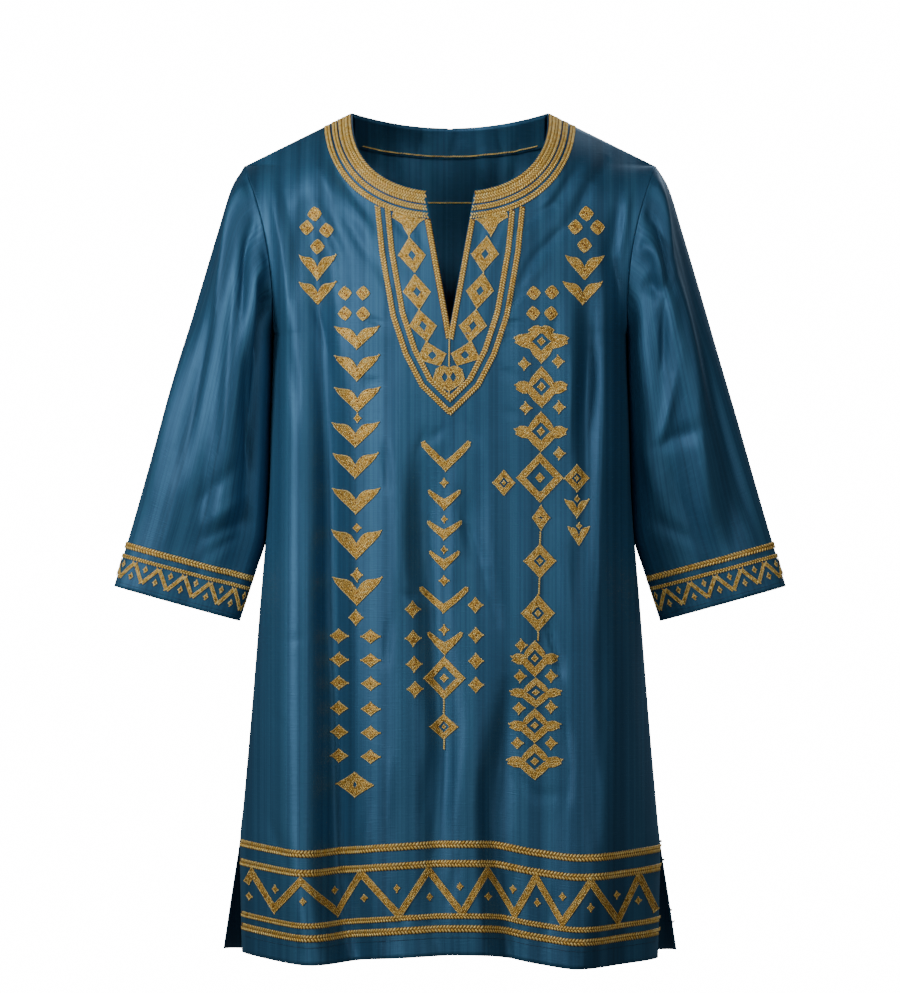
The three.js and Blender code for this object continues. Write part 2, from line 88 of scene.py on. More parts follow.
# Heights down a panel: z, half width, reach of the middle, how far the side edge stands out.
FRONT_LEVELS = np.array([
    (0, 178, 62, 0), (-53, 178, 74, 0), (-82, 178, 81, 0), (-140, 178, 97, 0), (-222, 177, 112, 0),
    (-319, 180, 111, 0), (-391, 182, 106, 0), (-492, 190, 106, 0), (-592, 198, 110, 0),
    (-692, 207, 115, 0), (-722, 210, 117, 0), (-780, 209, 120, 14), (-860, 207, 124, 20),
], float)
BACK_LEVELS = np.array([
    (0, 178, 58, 0), (-53, 178, 74, 0), (-120, 178, 92, 0), (-222, 177, 97, 0), (-319, 180, 90, 0),
    (-391, 182, 84, 0), (-492, 190, 86, 0), (-592, 198, 92, 0), (-692, 207, 98, 0),
    (-722, 210, 100, 0), (-780, 219, 104, 12), (-860, 231, 109, 20),
], float)
# Broad folds: top z, x at the top, x at the hem, depth, spread at the top, spread at the hem.
FRONT_FOLDS = [
    (-330, -118, -146, 15, 18, 27), (-360, -84, -93, -9, 14, 24), (-520, -30, -22, 5, 20, 30),
    (-500, 54, 62, -7, 16, 26), (-300, 112, 124, 16, 20, 28), (-340, 158, 172, -8, 12, 17),
]
BACK_FOLDS = [
    (-280, -112, -132, 13, 18, 30), (-360, -58, -66, -8, 15, 25), (-300, 6, 12, 11, 18, 30),
    (-420, 70, 80, -9, 15, 24), (-340, 126, 146, 12, 17, 27),
]
# How far the hem drops along the panel: x, drop.
FRONT_SAG = np.array([
    (-212, 2), (-140, 10), (-62, 3), (-10, 0), (40, 0.5), (83, 8), (128, 13), (212, 8),
], float)
BACK_SAG = np.array([(-235, 1), (-132, 9), (-66, 2), (12, 8), (80, 1), (146, 10), (235, 2)], float)
# Sleeve sections: outer x, outer z, inner x, inner z, reach to the front, reach to the back. The soft sleeve
# rests against the body as far as the elbow, where the solid keeps clear of it by a few millimetres.
SLEEVE_SECTIONS = np.array([
    (219, -74, 177, -234, 58, 62), (233, -119, 177.5, -268, 60, 63), (250, -177, 178.5, -310, 58, 59),
    (268, -240, 179.5, -352, 54, 55), (286, -301, 181.5, -392, 49, 50), (303, -361, 184, -427, 41, 42),
    (320, -420, 193, -456, 32, 33), (336, -473, 210, -508, 26, 27),
], float)
SLEEVE_LENGTH = 440
# Hem braids: top z, bottom z, spacing of the strands.
# Cuff braids: the same, measured up from the cuff's edge.
HEM_BRAIDS = [(-722, -729.6, 3.4), (-741, -748.4, 3.4), (-793.2, -799, 3.1), (-804.8, -812.2, 3.4)]
CUFF_BRAIDS = {"wide": (46.3, 39.7, 3.1), "narrow": (34.3, 30.3, 2.8)}
BACK_FACING_DEPTH = 30
FACING_HALF_WIDTH = 96.5
FACING_INSET = 1.9  # from the back's outer face to the facing's own
FACING_THICKNESS = 0.0006  # metres

# ---- how the shown cloth is made (mm) ----

SIDE_FADE = 14  # width over which creases fade out beside the side seam
SHOULDER_FADE = 12  # and below the shoulder seam
# What a panel's chart covers, and a sleeve's: from and to, across and down.
PANEL_CHART = (-240, 240), (-840, 30)
SLEEVE_CHART = (-150, 150), (0, SLEEVE_LENGTH)
INSIDE_CHART = (-120, 120), (-110, 0)
INSIDE_DEPTH = 1.1
# Points of half a panel: columns, rows that swing down from the shoulder, level rows.
FRONT_MESH = 72, 80, 136
BACK_MESH = 56, 56, 108
SLEEVE_MESH = 120, 118  # points round it and rows down it

# Long soft flutes of the shown cloth, each by rows of z, x, height (valleys negative) and half width (mm).
FRONT_FLUTES = [
    # the ridge inside the right side seam and the deep hollow beside it
    [(-60, -166, 0, 12), (-130, -164, 6, 11), (-240, -160, 11, 15), (-450, -160, 12, 18),
     (-640, -160, 12, 19),
     (-740, -155, 11, 19), (-840, -136, 9, 22)],
    [(-60, -142, 0, 12), (-110, -138, -8, 11), (-180, -130, -13, 12), (-280, -122, -20, 14),
     (-360, -118, -27, 15),
     (-450, -117, -31, 15), (-540, -116, -32, 16), (-640, -114, -34, 17), (-740, -111, -31, 18),
     (-800, -103, -22, 18), (-840, -93, -15, 16)],
    # right of the middle
    [(-240, -52, 0, 26), (-340, -54, 7, 26), (-480, -52, 9, 24), (-640, -50, 6, 22), (-800, -54, 3, 22),
     (-840, -46, 6, 20)],
    [(-330, -20, 0, 14), (-430, -20, -9, 14), (-540, -14, -11, 13), (-640, -6, -12, 13),
     (-720, -12, -11, 14),
     (-800, -14, -8, 14), (-840, -4, -6, 14)],
    # the broad swell left of the middle, and the two folds below it
    [(-230, 70, 0, 30), (-330, 80, 5, 34), (-450, 76, 8, 34), (-560, 60, 4, 30), (-640, 50, 0, 20)],
    [(-540, 22, 0, 16), (-640, 22, 4, 16), (-760, 24, 3, 16), (-840, 30, 4, 16)],
    [(-560, 60, 0, 14), (-640, 50, -8, 14), (-720, 44, -11, 14), (-800, 54, -11, 14), (-840, 60, -9, 14)],
    [(-150, 124, 0, 24), (-260, 128, 8, 24), (-360, 138, 14, 26), (-480, 148, 21, 28), (-640, 155, 25, 30),
     (-740, 150, 22, 30), (-840, 132, 13, 26)],
    # under the left armhole
    [(-180, 134, 0, 9), (-230, 134, -6, 8), (-340, 134, -6, 9), (-430, 132, -3, 10), (-520, 130, 0, 14)],
    [(-160, 152, 0, 9), (-240, 153, 11, 8), (-340, 152, 12, 9), (-440, 150, 7, 10), (-540, 150, 0, 14)],
]
# On the sleeves: v from the armhole, u round from the outer line, height, half width.
SLEEVE_FLUTES = {
    -1: [
        [(0, 84, 0, 12), (80, 88, 7, 13), (200, 90, 8, 13), (300, 92, 6, 14), (380, 96, 2, 14),
         (440, 100, 0, 14)],
        [(0, 112, 0, 10), (60, 116, -8, 12), (200, 120, -9, 13), (320, 122, -8, 14), (390, 124, -4, 14),
         (440, 124, 0, 14)],
    ],
    1: [
        [(0, 60, 0, 12), (80, 66, 6, 12), (200, 60, 7, 14), (300, 62, 5, 15), (380, 66, 2, 14),
         (440, 66, 0, 14)],
        [(0, 30, 0, 10), (60, 30, -5, 12), (200, 26, -6, 13), (320, 24, -4, 14), (440, 24, 0, 14)],
    ],
}
BACK_FLUTES = [
    [(-200, -150, 0, 14), (-400, -150, 6, 15), (-840, -156, 8, 20)],
    [(-200, -118, 0, 14), (-420, -112, -6, 16), (-840, -110, -7, 20)],
    [(-120, 0, 0, 20), (-420, 8, -5, 22), (-840, 4, -6, 24)],
    [(-220, 140, 0, 14), (-460, 144, 6, 16), (-840, 150, 7, 20)],
    [(-240, 96, 0, 16), (-500, 100, -5, 18), (-840, 104, -6, 20)],
]

CREASE_DEPTH = 1.7  # how deep the creases below are pressed, as a factor of their heights
CREASE_SHARPNESS = 1.8  # 2 is a soft bell, lower is a sharper crest or bottom

# ---- creases placed one by one (mm): start x, z, end x, z, height (valleys negative), half width ----

FRONT_CREASES = [
    # from the neck and the shoulder down across the right chest
    (-122, -42, -84, -104, -3.2, 7), (-136, -48, -112, -96, 2.4, 8), (-130, -98, -109, -143, -3.6, 6),
    (-109, -143, -104, -196, -2.2, 9), (-105, -106, -79, -150, -2.0, 5), (-96, -92, -76, -128, 2.0, 6),
    (-150, -112, -155, -194, -2.6, 9), (-166, -60, -158, -118, -2.4, 8), (-176, -70, -171, -150, 2.6, 7),
    # under the right armhole
    (-132, -198, -118, -247, -1.6, 3),
    (-118, -247, -112, -292, -1.4, 3), (-158, -240, -152, -300, -1.6, 6), (-113, -214, -108, -262, 1.6, 6),
    # pulls beside the bib and the motifs
    (-81, -208, -65, -214, -1.6, 3), (-86, -269, -68, -273, -1.3, 3), (-72, -150, -62, -176, -1.4, 4),
    (-57, -108, -40, -127, -1.4, 3), (-34, -112, -26, -136, -1.1, 3), (-52, -170, -46, -196, -1.0, 3),
    (34, -112, 26, -138, -1.3, 3), (56, -112, 42, -160, 1.3, 4), (46, -190, 34, -232, -1.2, 4),
    (-15, -222, -4, -228, -0.9, 2.5), (6, -226, 20, -222, -0.9, 2.5), (-19, -236, -8, -232, -0.8, 2),
    # from the shoulder down across the left chest
    (158, -44, 140, -72, -3.0, 7), (140, -72, 119, -116, -2.6, 8), (128, -54, 103, -92, -3.0, 7),
    (103, -92, 66, -122, -3.0, 6), (114, -68, 66, -136, 2.6, 8), (112, -118, 82, -152, -2.6, 6),
    (82, -152, 58, -196, -2.8, 5), (96, -144, 62, -188, 1.8, 6), (58, -196, 76, -178, -1.6, 3),
    (50, -231, 66, -224, -2.0, 3.5), (54, -214, 70, -212, -1.6, 4), (48, -259, 66, -266, -1.3, 2.5),
    (52, -300, 66, -302, -1.1, 2.5), (168, -94, 160, -146, -2.8, 7), (160, -146, 172, -196, -3.0, 6),
    (176, -84, 172, -140, 2.4, 6), (149, -142, 156, -232, 3.0, 11), (138, -232, 126, -330, -4.0, 10),
    (122, -252, 120, -330, 2.4, 7), (160, -250, 164, -360, 3.2, 10), (106, -200, 100, -240, -1.4, 5),
    # the middle of the skirt
    (-64, -334, -61, -378, -1.8, 3), (-54, -346, -48, -470, 2.4, 11), (-30, -330, -33, -470, -2.4, 9),
    (10, -328, 4, -470, 2.6, 9), (10, -388, 31, -454, -2.8, 8), (31, -454, 47, -516, -2.8, 9),
    (44, -340, 44, -492, 2.4, 13), (-61, -507, -63, -548, -1.6, 3), (-45, -480, -31, -484, -1.8, 3),
    (-42, -488, -30, -492, 1.2, 2.5), (-8, -318, -22, -330, -1.4, 4), (-24, -318, -30, -338, -1.2, 3),
    (16, -310, 26, -332, -1.4, 4), (96, -508, 105, -537, -2.6, 3), (105, -537, 109, -562, -2.8, 4.5),
    (112, -602, 117, -640, -2.0, 5), (117, -640, 115, -676, -1.6, 5), (61, -648, 82, -672, -2.0, 4),
    (82, -672, 108, -668, -1.0, 5), (57, -560, 52, -640, -1.8, 7), (112, -420, 118, -520, 2.2, 8),
    (-171, -527, -145, -525, -1.0, 2.5), (-176, -600, -166, -606, -0.9, 2.5),
    (-128, -430, -126, -560, -1.6, 7),
    (150, -470, 152, -640, -1.8, 8), (-20, -640, -26, -700, -1.6, 7), (8, -630, 4, -712, 1.8, 8),
    (-60, -640, -62, -706, 1.4, 6), (34, -650, 36, -712, -1.6, 7), (138, -640, 142, -716, -1.5, 7),
    # gathers at the hem border
    (-176, -700, -162, -742, -1.8, 5), (-128, -722, -120, -790, -1.6, 5), (-104, -756, -96, -800, 1.4, 5),
    (-78, -690, -88, -736, 1.4, 5), (-52, -770, -44, -808, -1.5, 4), (-36, -790, -50, -800, -1.2, 4),
    (6, -744, -2, -790, -1.4, 5), (28, -786, 34, -826, 1.2, 5), (66, -736, 60, -786, -1.5, 5),
    (104, -762, 96, -806, -1.4, 5), (150, -734, 158, -786, 1.4, 6), (-150, -806, -146, -832, -1.0, 5),
    (-60, -812, -62, -834, -1.0, 4), (120, -812, 124, -834, -1.0, 5),
]
BACK_CREASES = [
    # below the neck, where the inside shows
    (-70, -18, -76, -62, 1.6, 5), (-50, -24, -44, -80, -1.8, 5), (-28, -16, -34, -46, 1.5, 4),
    (-12, -40, -8, -96, -1.8, 6), (6, -16, 2, -44, 1.4, 4), (34, -30, 42, -84, -2.0, 6),
    (48, -14, 56, -44, 1.8, 4), (70, -22, 64, -70, 1.6, 5), (78, -40, 84, -90, -1.6, 5),
    (-84, -48, -80, -104, -1.6, 5),
    (-120, -40, -70, -70, -2.4, 7), (118, -42, 66, -74, -2.6, 7), (-152, -60, -132, -120, 2.4, 8),
    (156, -62, 138, -128, 2.2, 8), (-166, -110, -140, -200, -3.0, 8), (168, -104, 150, -196, -3.0, 8),
    (-110, -120, -90, -240, 2.4, 10), (104, -126, 92, -230, 2.0, 10), (-40, -40, -34, -130, -1.6, 6),
    (22, -44, 26, -140, 1.8, 7), (58, -48, 50, -120, -1.5, 5), (-162, -230, -140, -330, 3.0, 10),
    (164, -236, 146, -340, -3.0, 10), (-70, -240, -78, -380, -2.6, 9), (30, -230, 22, -350, 2.4, 11),
    (84, -250, 92, -400, 2.8, 9), (-20, -380, -26, -520, -2.4, 9), (-150, -400, -152, -560, -2.4, 8),
    (140, -420, 146, -600, 2.4, 9), (46, -460, 40, -600, -2.4, 8), (-96, -520, -100, -660, 2.2, 8),
    (104, -560, 108, -700, -2.2, 8), (-44, -600, -48, -712, 1.8, 7), (66, -640, 60, -718, 1.6, 6),
    (-176, -700, -160, -742, -1.6, 5), (-90, -740, -84, -792, -1.4, 5), (-10, -736, -16, -786, 1.4, 5),
    (90, -744, 84, -796, -1.4, 5), (172, -716, 164, -760, 1.6, 5), (30, -806, 34, -832, -1.0, 4),
]
# On a sleeve: round it from the shoulder line (mm, to the front positive) and down it from the armhole.
SLEEVE_CREASES = {
    -1: [
        (24, 10, 40, 150, 4.6, 9), (52, 0, 78, 120, -4.6, 9), (86, 10, 104, 130, 3.4, 8),
        (8, 20, 14, 190, -3.0, 8), (112, 20, 120, 110, -3.6, 8), (64, 110, 84, 250, 3.6, 10),
        (34, 170, 46, 300, -3.0, 9), (96, 150, 118, 240, -3.8, 8), (14, 210, 22, 340, 2.8, 9),
        (68, 280, 82, 372, -2.0, 9), (104, 262, 72, 330, -2.2, 8), (120, 286, 86, 344, 1.6, 7),
        (122, 318, 84, 372, -1.9, 8), (46, 320, 52, 390, 1.8, 9), (116, 350, 92, 388, -1.3, 7),
        (-24, 30, -34, 180, 3.6, 9), (-60, 20, -74, 150, -4.0, 9), (-98, 30, -106, 160, 3.0, 9),
        (-40, 200, -44, 330, -3.0, 9), (-84, 210, -70, 340, 3.0, 9), (-112, 280, -80, 350, -2.8, 7),
        (30, 404, 34, 436, -1.0, 5), (90, 402, 88, 436, -1.0, 5), (-50, 400, -48, 436, -1.0, 5),
    ],
    1: [
        (22, 0, 34, 110, 4.2, 9), (48, 10, 52, 120, -4.8, 8), (74, 20, 60, 96, 3.6, 7),
        (92, 60, 66, 116, -4.4, 6), (66, 116, 88, 176, -3.4, 8), (10, 30, 16, 200, -3.2, 8),
        (36, 130, 46, 240, 3.8, 10), (70, 190, 104, 236, 2.8, 9), (104, 236, 56, 262, -2.6, 8),
        (58, 250, 70, 360, 3.2, 10), (24, 230, 30, 360, -3.0, 9), (98, 270, 84, 362, -3.0, 8),
        (124, 210, 112, 300, 2.6, 9), (122, 316, 90, 370, -1.8, 8), (44, 330, 50, 392, -1.8, 9),
        (-26, 20, -36, 170, 3.4, 9), (-62, 24, -72, 160, -3.8, 9), (-100, 20, -104, 150, 3.0, 9),
        (-44, 210, -40, 340, -3.0, 9), (-82, 200, -72, 330, 3.0, 9), (-114, 290, -84, 352, -2.6, 7),
        (32, 404, 30, 436, -1.0, 5), (86, 402, 90, 436, -1.0, 5), (-52, 402, -50, 436, -1.0, 5),
    ],
}

# ---- motif places (mm on the hung garment) ----

# Rows on the hung garment are x, z. A higher squareness is a rounder diamond, as `diamond` says.
SHOULDER_SPOTS = [
    (-134, -103.5), (-142, -117), (-122, -120), (-131, -136), (135, -103.5), (124, -117), (146, -117),
    (133, -135), (-103.5, -183), (-85.5, -183), (-103.5, -203), (-85.5, -203.5), (82.5, -183),
    (100.5, -182), (82, -203), (99.5, -203),
]
# Birds: middle x, top z, width, height.
SHOULDER_BIRDS = [
    (-131, -144.5, 38, 25.5), (-131, -171, 38.5, 23.5), (133, -145, 39.5, 25.5), (131, -171, 41, 23.5),
]
UPPER_SPOTS = 8  # the first of the shoulder spots, a little larger than the others
UPPER_SPOT, LOWER_SPOT = 14.8, 14.0
COLUMN_BIRDS = [
    (-91.5, -215.5, 45.5, 23.5), (-91.5, -244, 45.5, 26.5), (-91, -275.5, 46.5, 25.5),
    (-93, -310, 48.5, 25.5),
    (-93, -340.5, 46.5, 25.5), (-92.5, -375, 49, 26.5), (-92, -416.5, 52, 29.5), (-91.5, -463, 51, 28.5),
]
# Diamonds: x, z, width, height.
COLUMN_SPOTS = [(-91, -306.5, 9, 11), (-91.5, -414.5, 10, 11), (-91.5, -461, 13, 15), (-92.5, -503, 16, 18.5)]
PAIR_LEVELS = [-521.5, -545, -568, -593, -616.5, -640]
PAIR_X = (-109.5, -78)
PAIR_SPOT = 21, 15, 0.92  # width, height, squareness, as for each spot below
# Ringed motifs: x, z, then width, height and squareness of each loop from the outside in.
COLUMN_END = [(-93.5, -668, [(41, 26.5, 0.9), (3, 6, 1.2)])]
CENTRE_CHEVRONS = [
    (-4, -329, 49, 30.5), (-5.5, -377, 32.5, 20.5), (-5.5, -407.5, 34.5, 19.5), (-5.5, -437, 30.5, 19.5),
    (-6, -472.5, 49, 26.5), (-5, -517, 35.5, 23.5),
]
CENTRE_SPOTS = [
    (-5.5, -370, 9.5, 12), (-5.5, -406, 8, 9.5), (-5.5, -436, 8.5, 10), (-5.5, -466.5, 11.5, 13),
    (-5.5, -515, 11, 12),
]
CENTRE_SIDE_SPOTS = [
    (-37, -494.5), (-36.5, -523), (-35.5, -548.5), (-34.5, -573), (25, -490.5), (25.5, -520),
    (25.5, -545.5),
    (25.5, -569),
]
SIDE_SPOT = 17, 18, 0.85
WIDE_CHEVRON = 40  # chevrons wider than this have thin arms
THIN_ARM_NOTCH, THICK_ARM_NOTCH = 0.62, 0.42
CENTRE_RINGS = [
    (-5.5, -562.5, [(42.5, 43.5), (22.5, 23.5), (9.5, 10.5, 0.9)]),
    (-6, -610.5, [(30, 26.5), (11, 10.5), (5.5, 5)]),
]
# Threads that hang one motif from the next: x, z of both ends.
CENTRE_LINKS = [(-5.5, -584, -5.8, -598), (-5.5, -623, -5.8, -633)]
# Medallions: middle x, top z, width, height.
MEDALLIONS = [
    (90, -214.5, 54.5, 38.5), (90, -255, 53, 41.5), (89.5, -299.5, 53, 40.5), (83.5, -525, 47.5, 36.5),
    (84.5, -561.5, 52, 30.5), (83.5, -592, 52, 34.5), (83.5, -626.5, 56, 36.5),
]
MEDALLION_SPOTS = [
    (73, -253), (106.5, -250.5), (74.5, -296.5), (107.5, -295.5), (107.5, -341), (70, -530), (69, -560.5),
    (99.5, -560.5), (68, -592), (99.5, -591), (66.5, -626.5), (99.5, -626.5),
]
MEDALLION_SPOT = 14, 14, 0.86
CROWNED_MIDDLE, MEDALLION_MIDDLE = 0.42, 0.49  # how far down a medallion its inner diamond sits
RING_DIAMONDS = [
    (53, -370, 23.5, 27.5), (125, -365.5, 26.5, 28.5), (88.5, -447, 33.5, 35.5), (86.5, -498.5, 34.5, 38.5),
]
MEDALLION_RINGS = [
    (88.5, -365, [(47.5, 50), (27, 29), (10, 11.5)]), (89.5, -404.5, [(19.5, 27.5, 0.9), (3, 4)]),
]
SMALL_BIRDS = [(125, -386, 25.5, 19.5), (127, -412.5, 23.5, 20.5)]
MEDALLION_LINKS = [(89, -418, 88.5, -430), (88, -464, 87.5, -480), (87, -517, 86.5, -526)]
# The bib's diamonds down each side of the slit: x, z, height,
# and how far they lean to the slit as they go down.
BIB_DIAMONDS = [
    (-37.5, -145.5, 37, 0.155), (-32.5, -182, 37, 0.13), (-26.5, -215.5, 33, 0.25),
    (34.5, -144.5, 37, -0.11),
    (29.5, -181, 37, -0.17), (22.5, -215.5, 34, -0.2),
]
# The two below them: the middle of each, and the corners of the left one.
BIB_TURNED = [(-17.4, -244.6), (14.8, -244.2)]
TURNED_CORNERS = [(-6.3, 14.5), (-10.5, 6), (-15, -4), (-4, -7.5), (8, -11), (11.5, -4.5), (14, 1.8), (4, 7.5)]
# The right half of the motif in the bib's point, round its own middle.
BIB_POINT_HALF = [(0, 10.5), (5, 12.5), (9, 11.5), (13, 9), (16, -1), (12, -6), (6, -10), (0, -13.5)]
BIB_POINT = (-1, -267)
TREFOIL = (40, -104)  # one at each side
BIB_LINKS = [(-0.6, -229, -1, -256), (-1, -279, -0.6, -287)]
ZIGZAG_FRONT = [
    (-202, -768), (-196, -757), (-173.5, -791), (-147, -762), (-111.5, -794), (-87.5, -755), (-50, -795),
    (-21.5, -751), (12, -793), (36.5, -752), (64, -795), (84.5, -758), (110.5, -802), (138, -762),
    (165.5, -802),
    (187, -759), (205, -796),
]
ZIGZAG_EDGE_SPOT = (-199, -777)  # the spot beside the zigzag's short first leg
ZIGZAG_BAND = 7.0
ZIGZAG_SPOT = 8, 10, 0.85  # width, height, squareness
SPOT_DEPTH = 0.62  # how far a spot sits from its turn towards the middle of the turns beside it
BACK_TURNS, BACK_REACH, BACK_TURN_LEVELS = 17, 210, (-790.0, -753.0)
CUFF_UNITS = 12
CUFF_TURNS = 28.5, 10.5  # heights of the cuff zigzag's turns above the edge
CUFF_SPOT_HEIGHTS = 14.5, 24.5  # of the spot at a high turn and at a low one
CUFF_BAND = 4.3
CUFF_SPOT = 5.4, 7.6, 1.1
CUFF_STITCH_PITCH = 1.6
# Stitch lines inside the back: half width, z in the middle, rise at the ends, thread width, lift, seed.
INSIDE_STITCHES = [(89, -39.5, 11, 1.3, 2.2, 3), (110, -86, 3, 1.4, 0.5, 4)]
HEM_STITCH_Z = -817.5
HEM_STITCH_PITCH = 4.2
CUFF_STITCH_HEIGHT = 5.5

# ---- braids beside the neck's edge (mm) ----

TAPE_HEIGHT = 0.7
HEM_TAPE_HEIGHT = 0.75
TAPE_MARGIN = 0.2  # the tapes of hems and cuffs are narrower than their strands by this at each side
HEM_END_GAP = 1.4  # from the end of a hem braid to the side edge
# Each braid: its tapes from and to, then its rows of strands: distance, width, spacing, seed.
FRONT_NECK_BRAIDS = {
    "band": ([(0.7, 13.6), (14.9, 20.3)], [(4.0, 6.6, 2.7, 1), (10.4, 6.6, 2.7, 4), (17.6, 5.3, 2.6, 7)]),
    "cord": ([(22.2, 27.8)], [(25, 5.8, 2.7, 10)]),
}
BACK_NECK_BRAIDS = {
    "band": ([(0.7, 14.8)], [(4.4, 7.0, 2.8, 20), (11.3, 6.6, 2.8, 21)]),
    "cord": ([(17.2, 22.8)], [(20, 5.8, 2.6, 22)]),
}
STRAND_CLEARANCE = 0.9  # from the strands to the shoulder seam
TAPE_CLEARANCE = 0.3  # from the tapes to it
SLIT_CLEARANCE = 1.2
BELOW_CORD = 27.4  # where the bib's braids come out from under the neck's outer braid
CHAIN_HALF_WIDTH = 2.7  # of the tapes of the slit and the bib
CHAIN_PITCH = 2.7
SLIT_CHAIN_WIDTH, BIB_CHAIN_WIDTH = 5.2, 5.5
SLIT_CHAIN_INSET = 3.4  # from the slit's edge to the middle of its braid
SLIT_CHAIN_START = 29  # below the slit's corner
SLIT_CHAIN_END = (0.9, -228)
# The right half of the bib's outer braid: x, z.
BIB_HALF = [(72.5, -88), (67, -142), (56, -205), (43.5, -243), (27.5, -274), (0, -301)]
BIB_BRAIDS = {"outer": (0, 34), "inner": (9.6, 35)}  # distance inside that line, seed


# ---- what a user would change ----


def linear(hex_colour):
    """An sRGB hex colour as linear RGBA: each channel through the sRGB curve."""
    channels = [int(hex_colour[i : i + 2], 16) / 255 for i in (1, 3, 5)]
    rgb = [c / 12.92 if c <= 0.04045 else ((c + 0.055) / 1.055) ** 2.4 for c in channels]
    return (*rgb, 1.0)


def colour(name, description, default):
    return bpy.props.FloatVectorProperty(
        name=name, description=description, default=linear(default), size=4, min=0, max=1, subtype="COLOR"
    )


def length(name, description, millimetres):
    return bpy.props.FloatProperty(
        name=name, description=description, default=millimetres * METRES, min=0, unit="LENGTH", precision=5
    )


class TunicSilk(bpy.types.PropertyGroup):
    """Sizes and colours of the silk."""

    light: colour("Light warp", "Colour of the lighter warp stripes", "#487b9f")
    middle: colour("Silk", "Main colour of the silk", "#356184")
    dark: colour("Dark warp", "Colour of the darker warp stripes", "#274c69")
    thickness: length("Cloth", "Thickness of the shown cloth", 1.0)
    stripe: length("Stripe", "Usual width of a warp stripe", 9.0)
    weft: length("Weft", "Spacing of the weft threads, drawn coarser than the real 0.3 mm", 1.1)


class TunicGold(bpy.types.PropertyGroup):
    """Sizes and colours of the gold thread."""

    pale: colour("Bright thread", "Colour of the thread where it catches light", "#ffe89c")
    middle: colour("Gold thread", "Main colour of the gold thread", "#f3c965")
    shade: colour("Shaded thread", "Colour deep between the stitches", "#a0742c")
    red: colour("Knot", "Colour of the small knots in the motifs", "#8a4a24")
    stitch: length("Stitch", "Length of one filling stitch", 2.7)
    relief: length("Relief", "How far the embroidery stands out of the cloth", 1.1)


class TunicStage(bpy.types.PropertyGroup):
    """Camera, light and floor."""

    distance: bpy.props.FloatProperty(
        name="Distance", description="Camera to the shoulder plane", default=7.0, min=1, unit="LENGTH"
    )
    view_width: bpy.props.FloatProperty(
        name="View width", description="Width seen at the shoulder plane", default=0.9, min=0.1, unit="LENGTH"
    )
    aim: bpy.props.FloatProperty(
        name="Aim height", description="Height that the camera looks at", default=-0.3835, unit="LENGTH"
    )
    key: bpy.props.FloatProperty(
        name="Key light", description="Power of the key light", default=3.95, min=0, unit="POWER"
    )
    floor: colour("Floor", "Colour of the floor", "#ecebe8")
    gap: length("Gap", "How far the floor is below the hem", 420)


# ---- smooth curves and the cloth's surfaces ----


def hermite_weights(places, at):
    """How much each row of a table counts at a place between them: shape at.shape + (rows,).

    Cubic Hermite pieces whose slope at a row is that of the chord between its neighbours.
    """
    rows = len(places)
    values = np.eye(rows)
    index = np.arange(rows)
    before, after = np.maximum(index - 1, 0), np.minimum(index + 1, rows - 1)
    slopes = (values[after] - values[before]) / (places[after] - places[before])[:, None]
    at = np.clip(at, places[0], places[-1])
    i = np.clip(np.searchsorted(places, at, side="left") - 1, 0, rows - 2)
    span = (places[i + 1] - places[i])[..., None]
    t = (at[..., None] - places[i][..., None]) / span
    return (
        (2 * t**3 - 3 * t**2 + 1) * values[i]
        + (t**3 - 2 * t**2 + t) * span * slopes[i]
        + (3 * t**2 - 2 * t**3) * values[i + 1]
        + (t**3 - t**2) * span * slopes[i + 1]
    )


def along(table, at):
    """Every column of a table, smoothly between its rows, at places given in its first column."""
    rows = table[np.argsort(table[:, 0])]
    return hermite_weights(rows[:, 0], at) @ rows[:, 1:]


def bulge(s, squareness):
    """The other coordinate of a unit superellipse."""
    return np.maximum(0, 1 - np.abs(s) ** squareness) ** (1 / squareness)


def smoothstep(value, low, high):
    t = np.clip((value - low) / (high - low), 0, 1)
    return t * t * (3 - 2 * t)


def unit(vectors):
    return vectors / np.maximum(np.linalg.norm(vectors, axis=-1, keepdims=True), 1e-9)


def shoulder_line(x):
    """The z of the shoulder seam."""
    return -SHOULDER_SLOPE * (np.abs(x) - NECK_HALF_WIDTH)


def crease_height(creases, u, v):
    """Ridges and valleys in mm: a bell across each segment, which swells and dies away along it."""
    total = np.zeros(np.broadcast(u, v).shape)
    for u0, v0, u1, v1, height, spread in creases:
        du, dv = u1 - u0, v1 - v0
        run = math.hypot(du, dv)
        share = ((u - u0) * du + (v - v0) * dv) / run**2
        away = ((u - u0) * dv - (v - v0) * du) / run
        past = np.maximum(np.maximum(-share, share - 1), 0) * run
        swell = 0.35 + 0.65 * np.sin(np.pi * np.clip(share, 0, 1)) ** 0.7
        bell = np.exp(-np.abs(away / spread) ** CREASE_SHARPNESS - (past / (1.6 * spread)) ** 2)
        total += CREASE_DEPTH * height * swell * bell
    return total


def flute_height(flutes, across, down):
    """The long flutes in mm: each a bell across, whose middle, height and width change smoothly down it."""
    total = 0
    for rows in flutes:
        centre, height, spread = np.moveaxis(along(np.array(rows, float), down), -1, 0)
        total = total + height * np.exp(-(((across - centre) / spread) ** 2))
    return total


def armhole_line(cosine, reach):
    """x, z and stand-out of the armhole seam, for the cosine of the angle from the shoulder tip."""
    x = (SHOULDER_TIP_X + ARMHOLE_BOTTOM_X) / 2 + (SHOULDER_TIP_X - ARMHOLE_BOTTOM_X) / 2 * cosine
    z = (SHOULDER_TIP_Z + ARMHOLE_BOTTOM_Z) / 2 + (SHOULDER_TIP_Z - ARMHOLE_BOTTOM_Z) / 2 * cosine
    return x - ARMHOLE_BOW * (1 - cosine**2), z, reach * bulge(cosine, ARMHOLE_SQUARENESS)


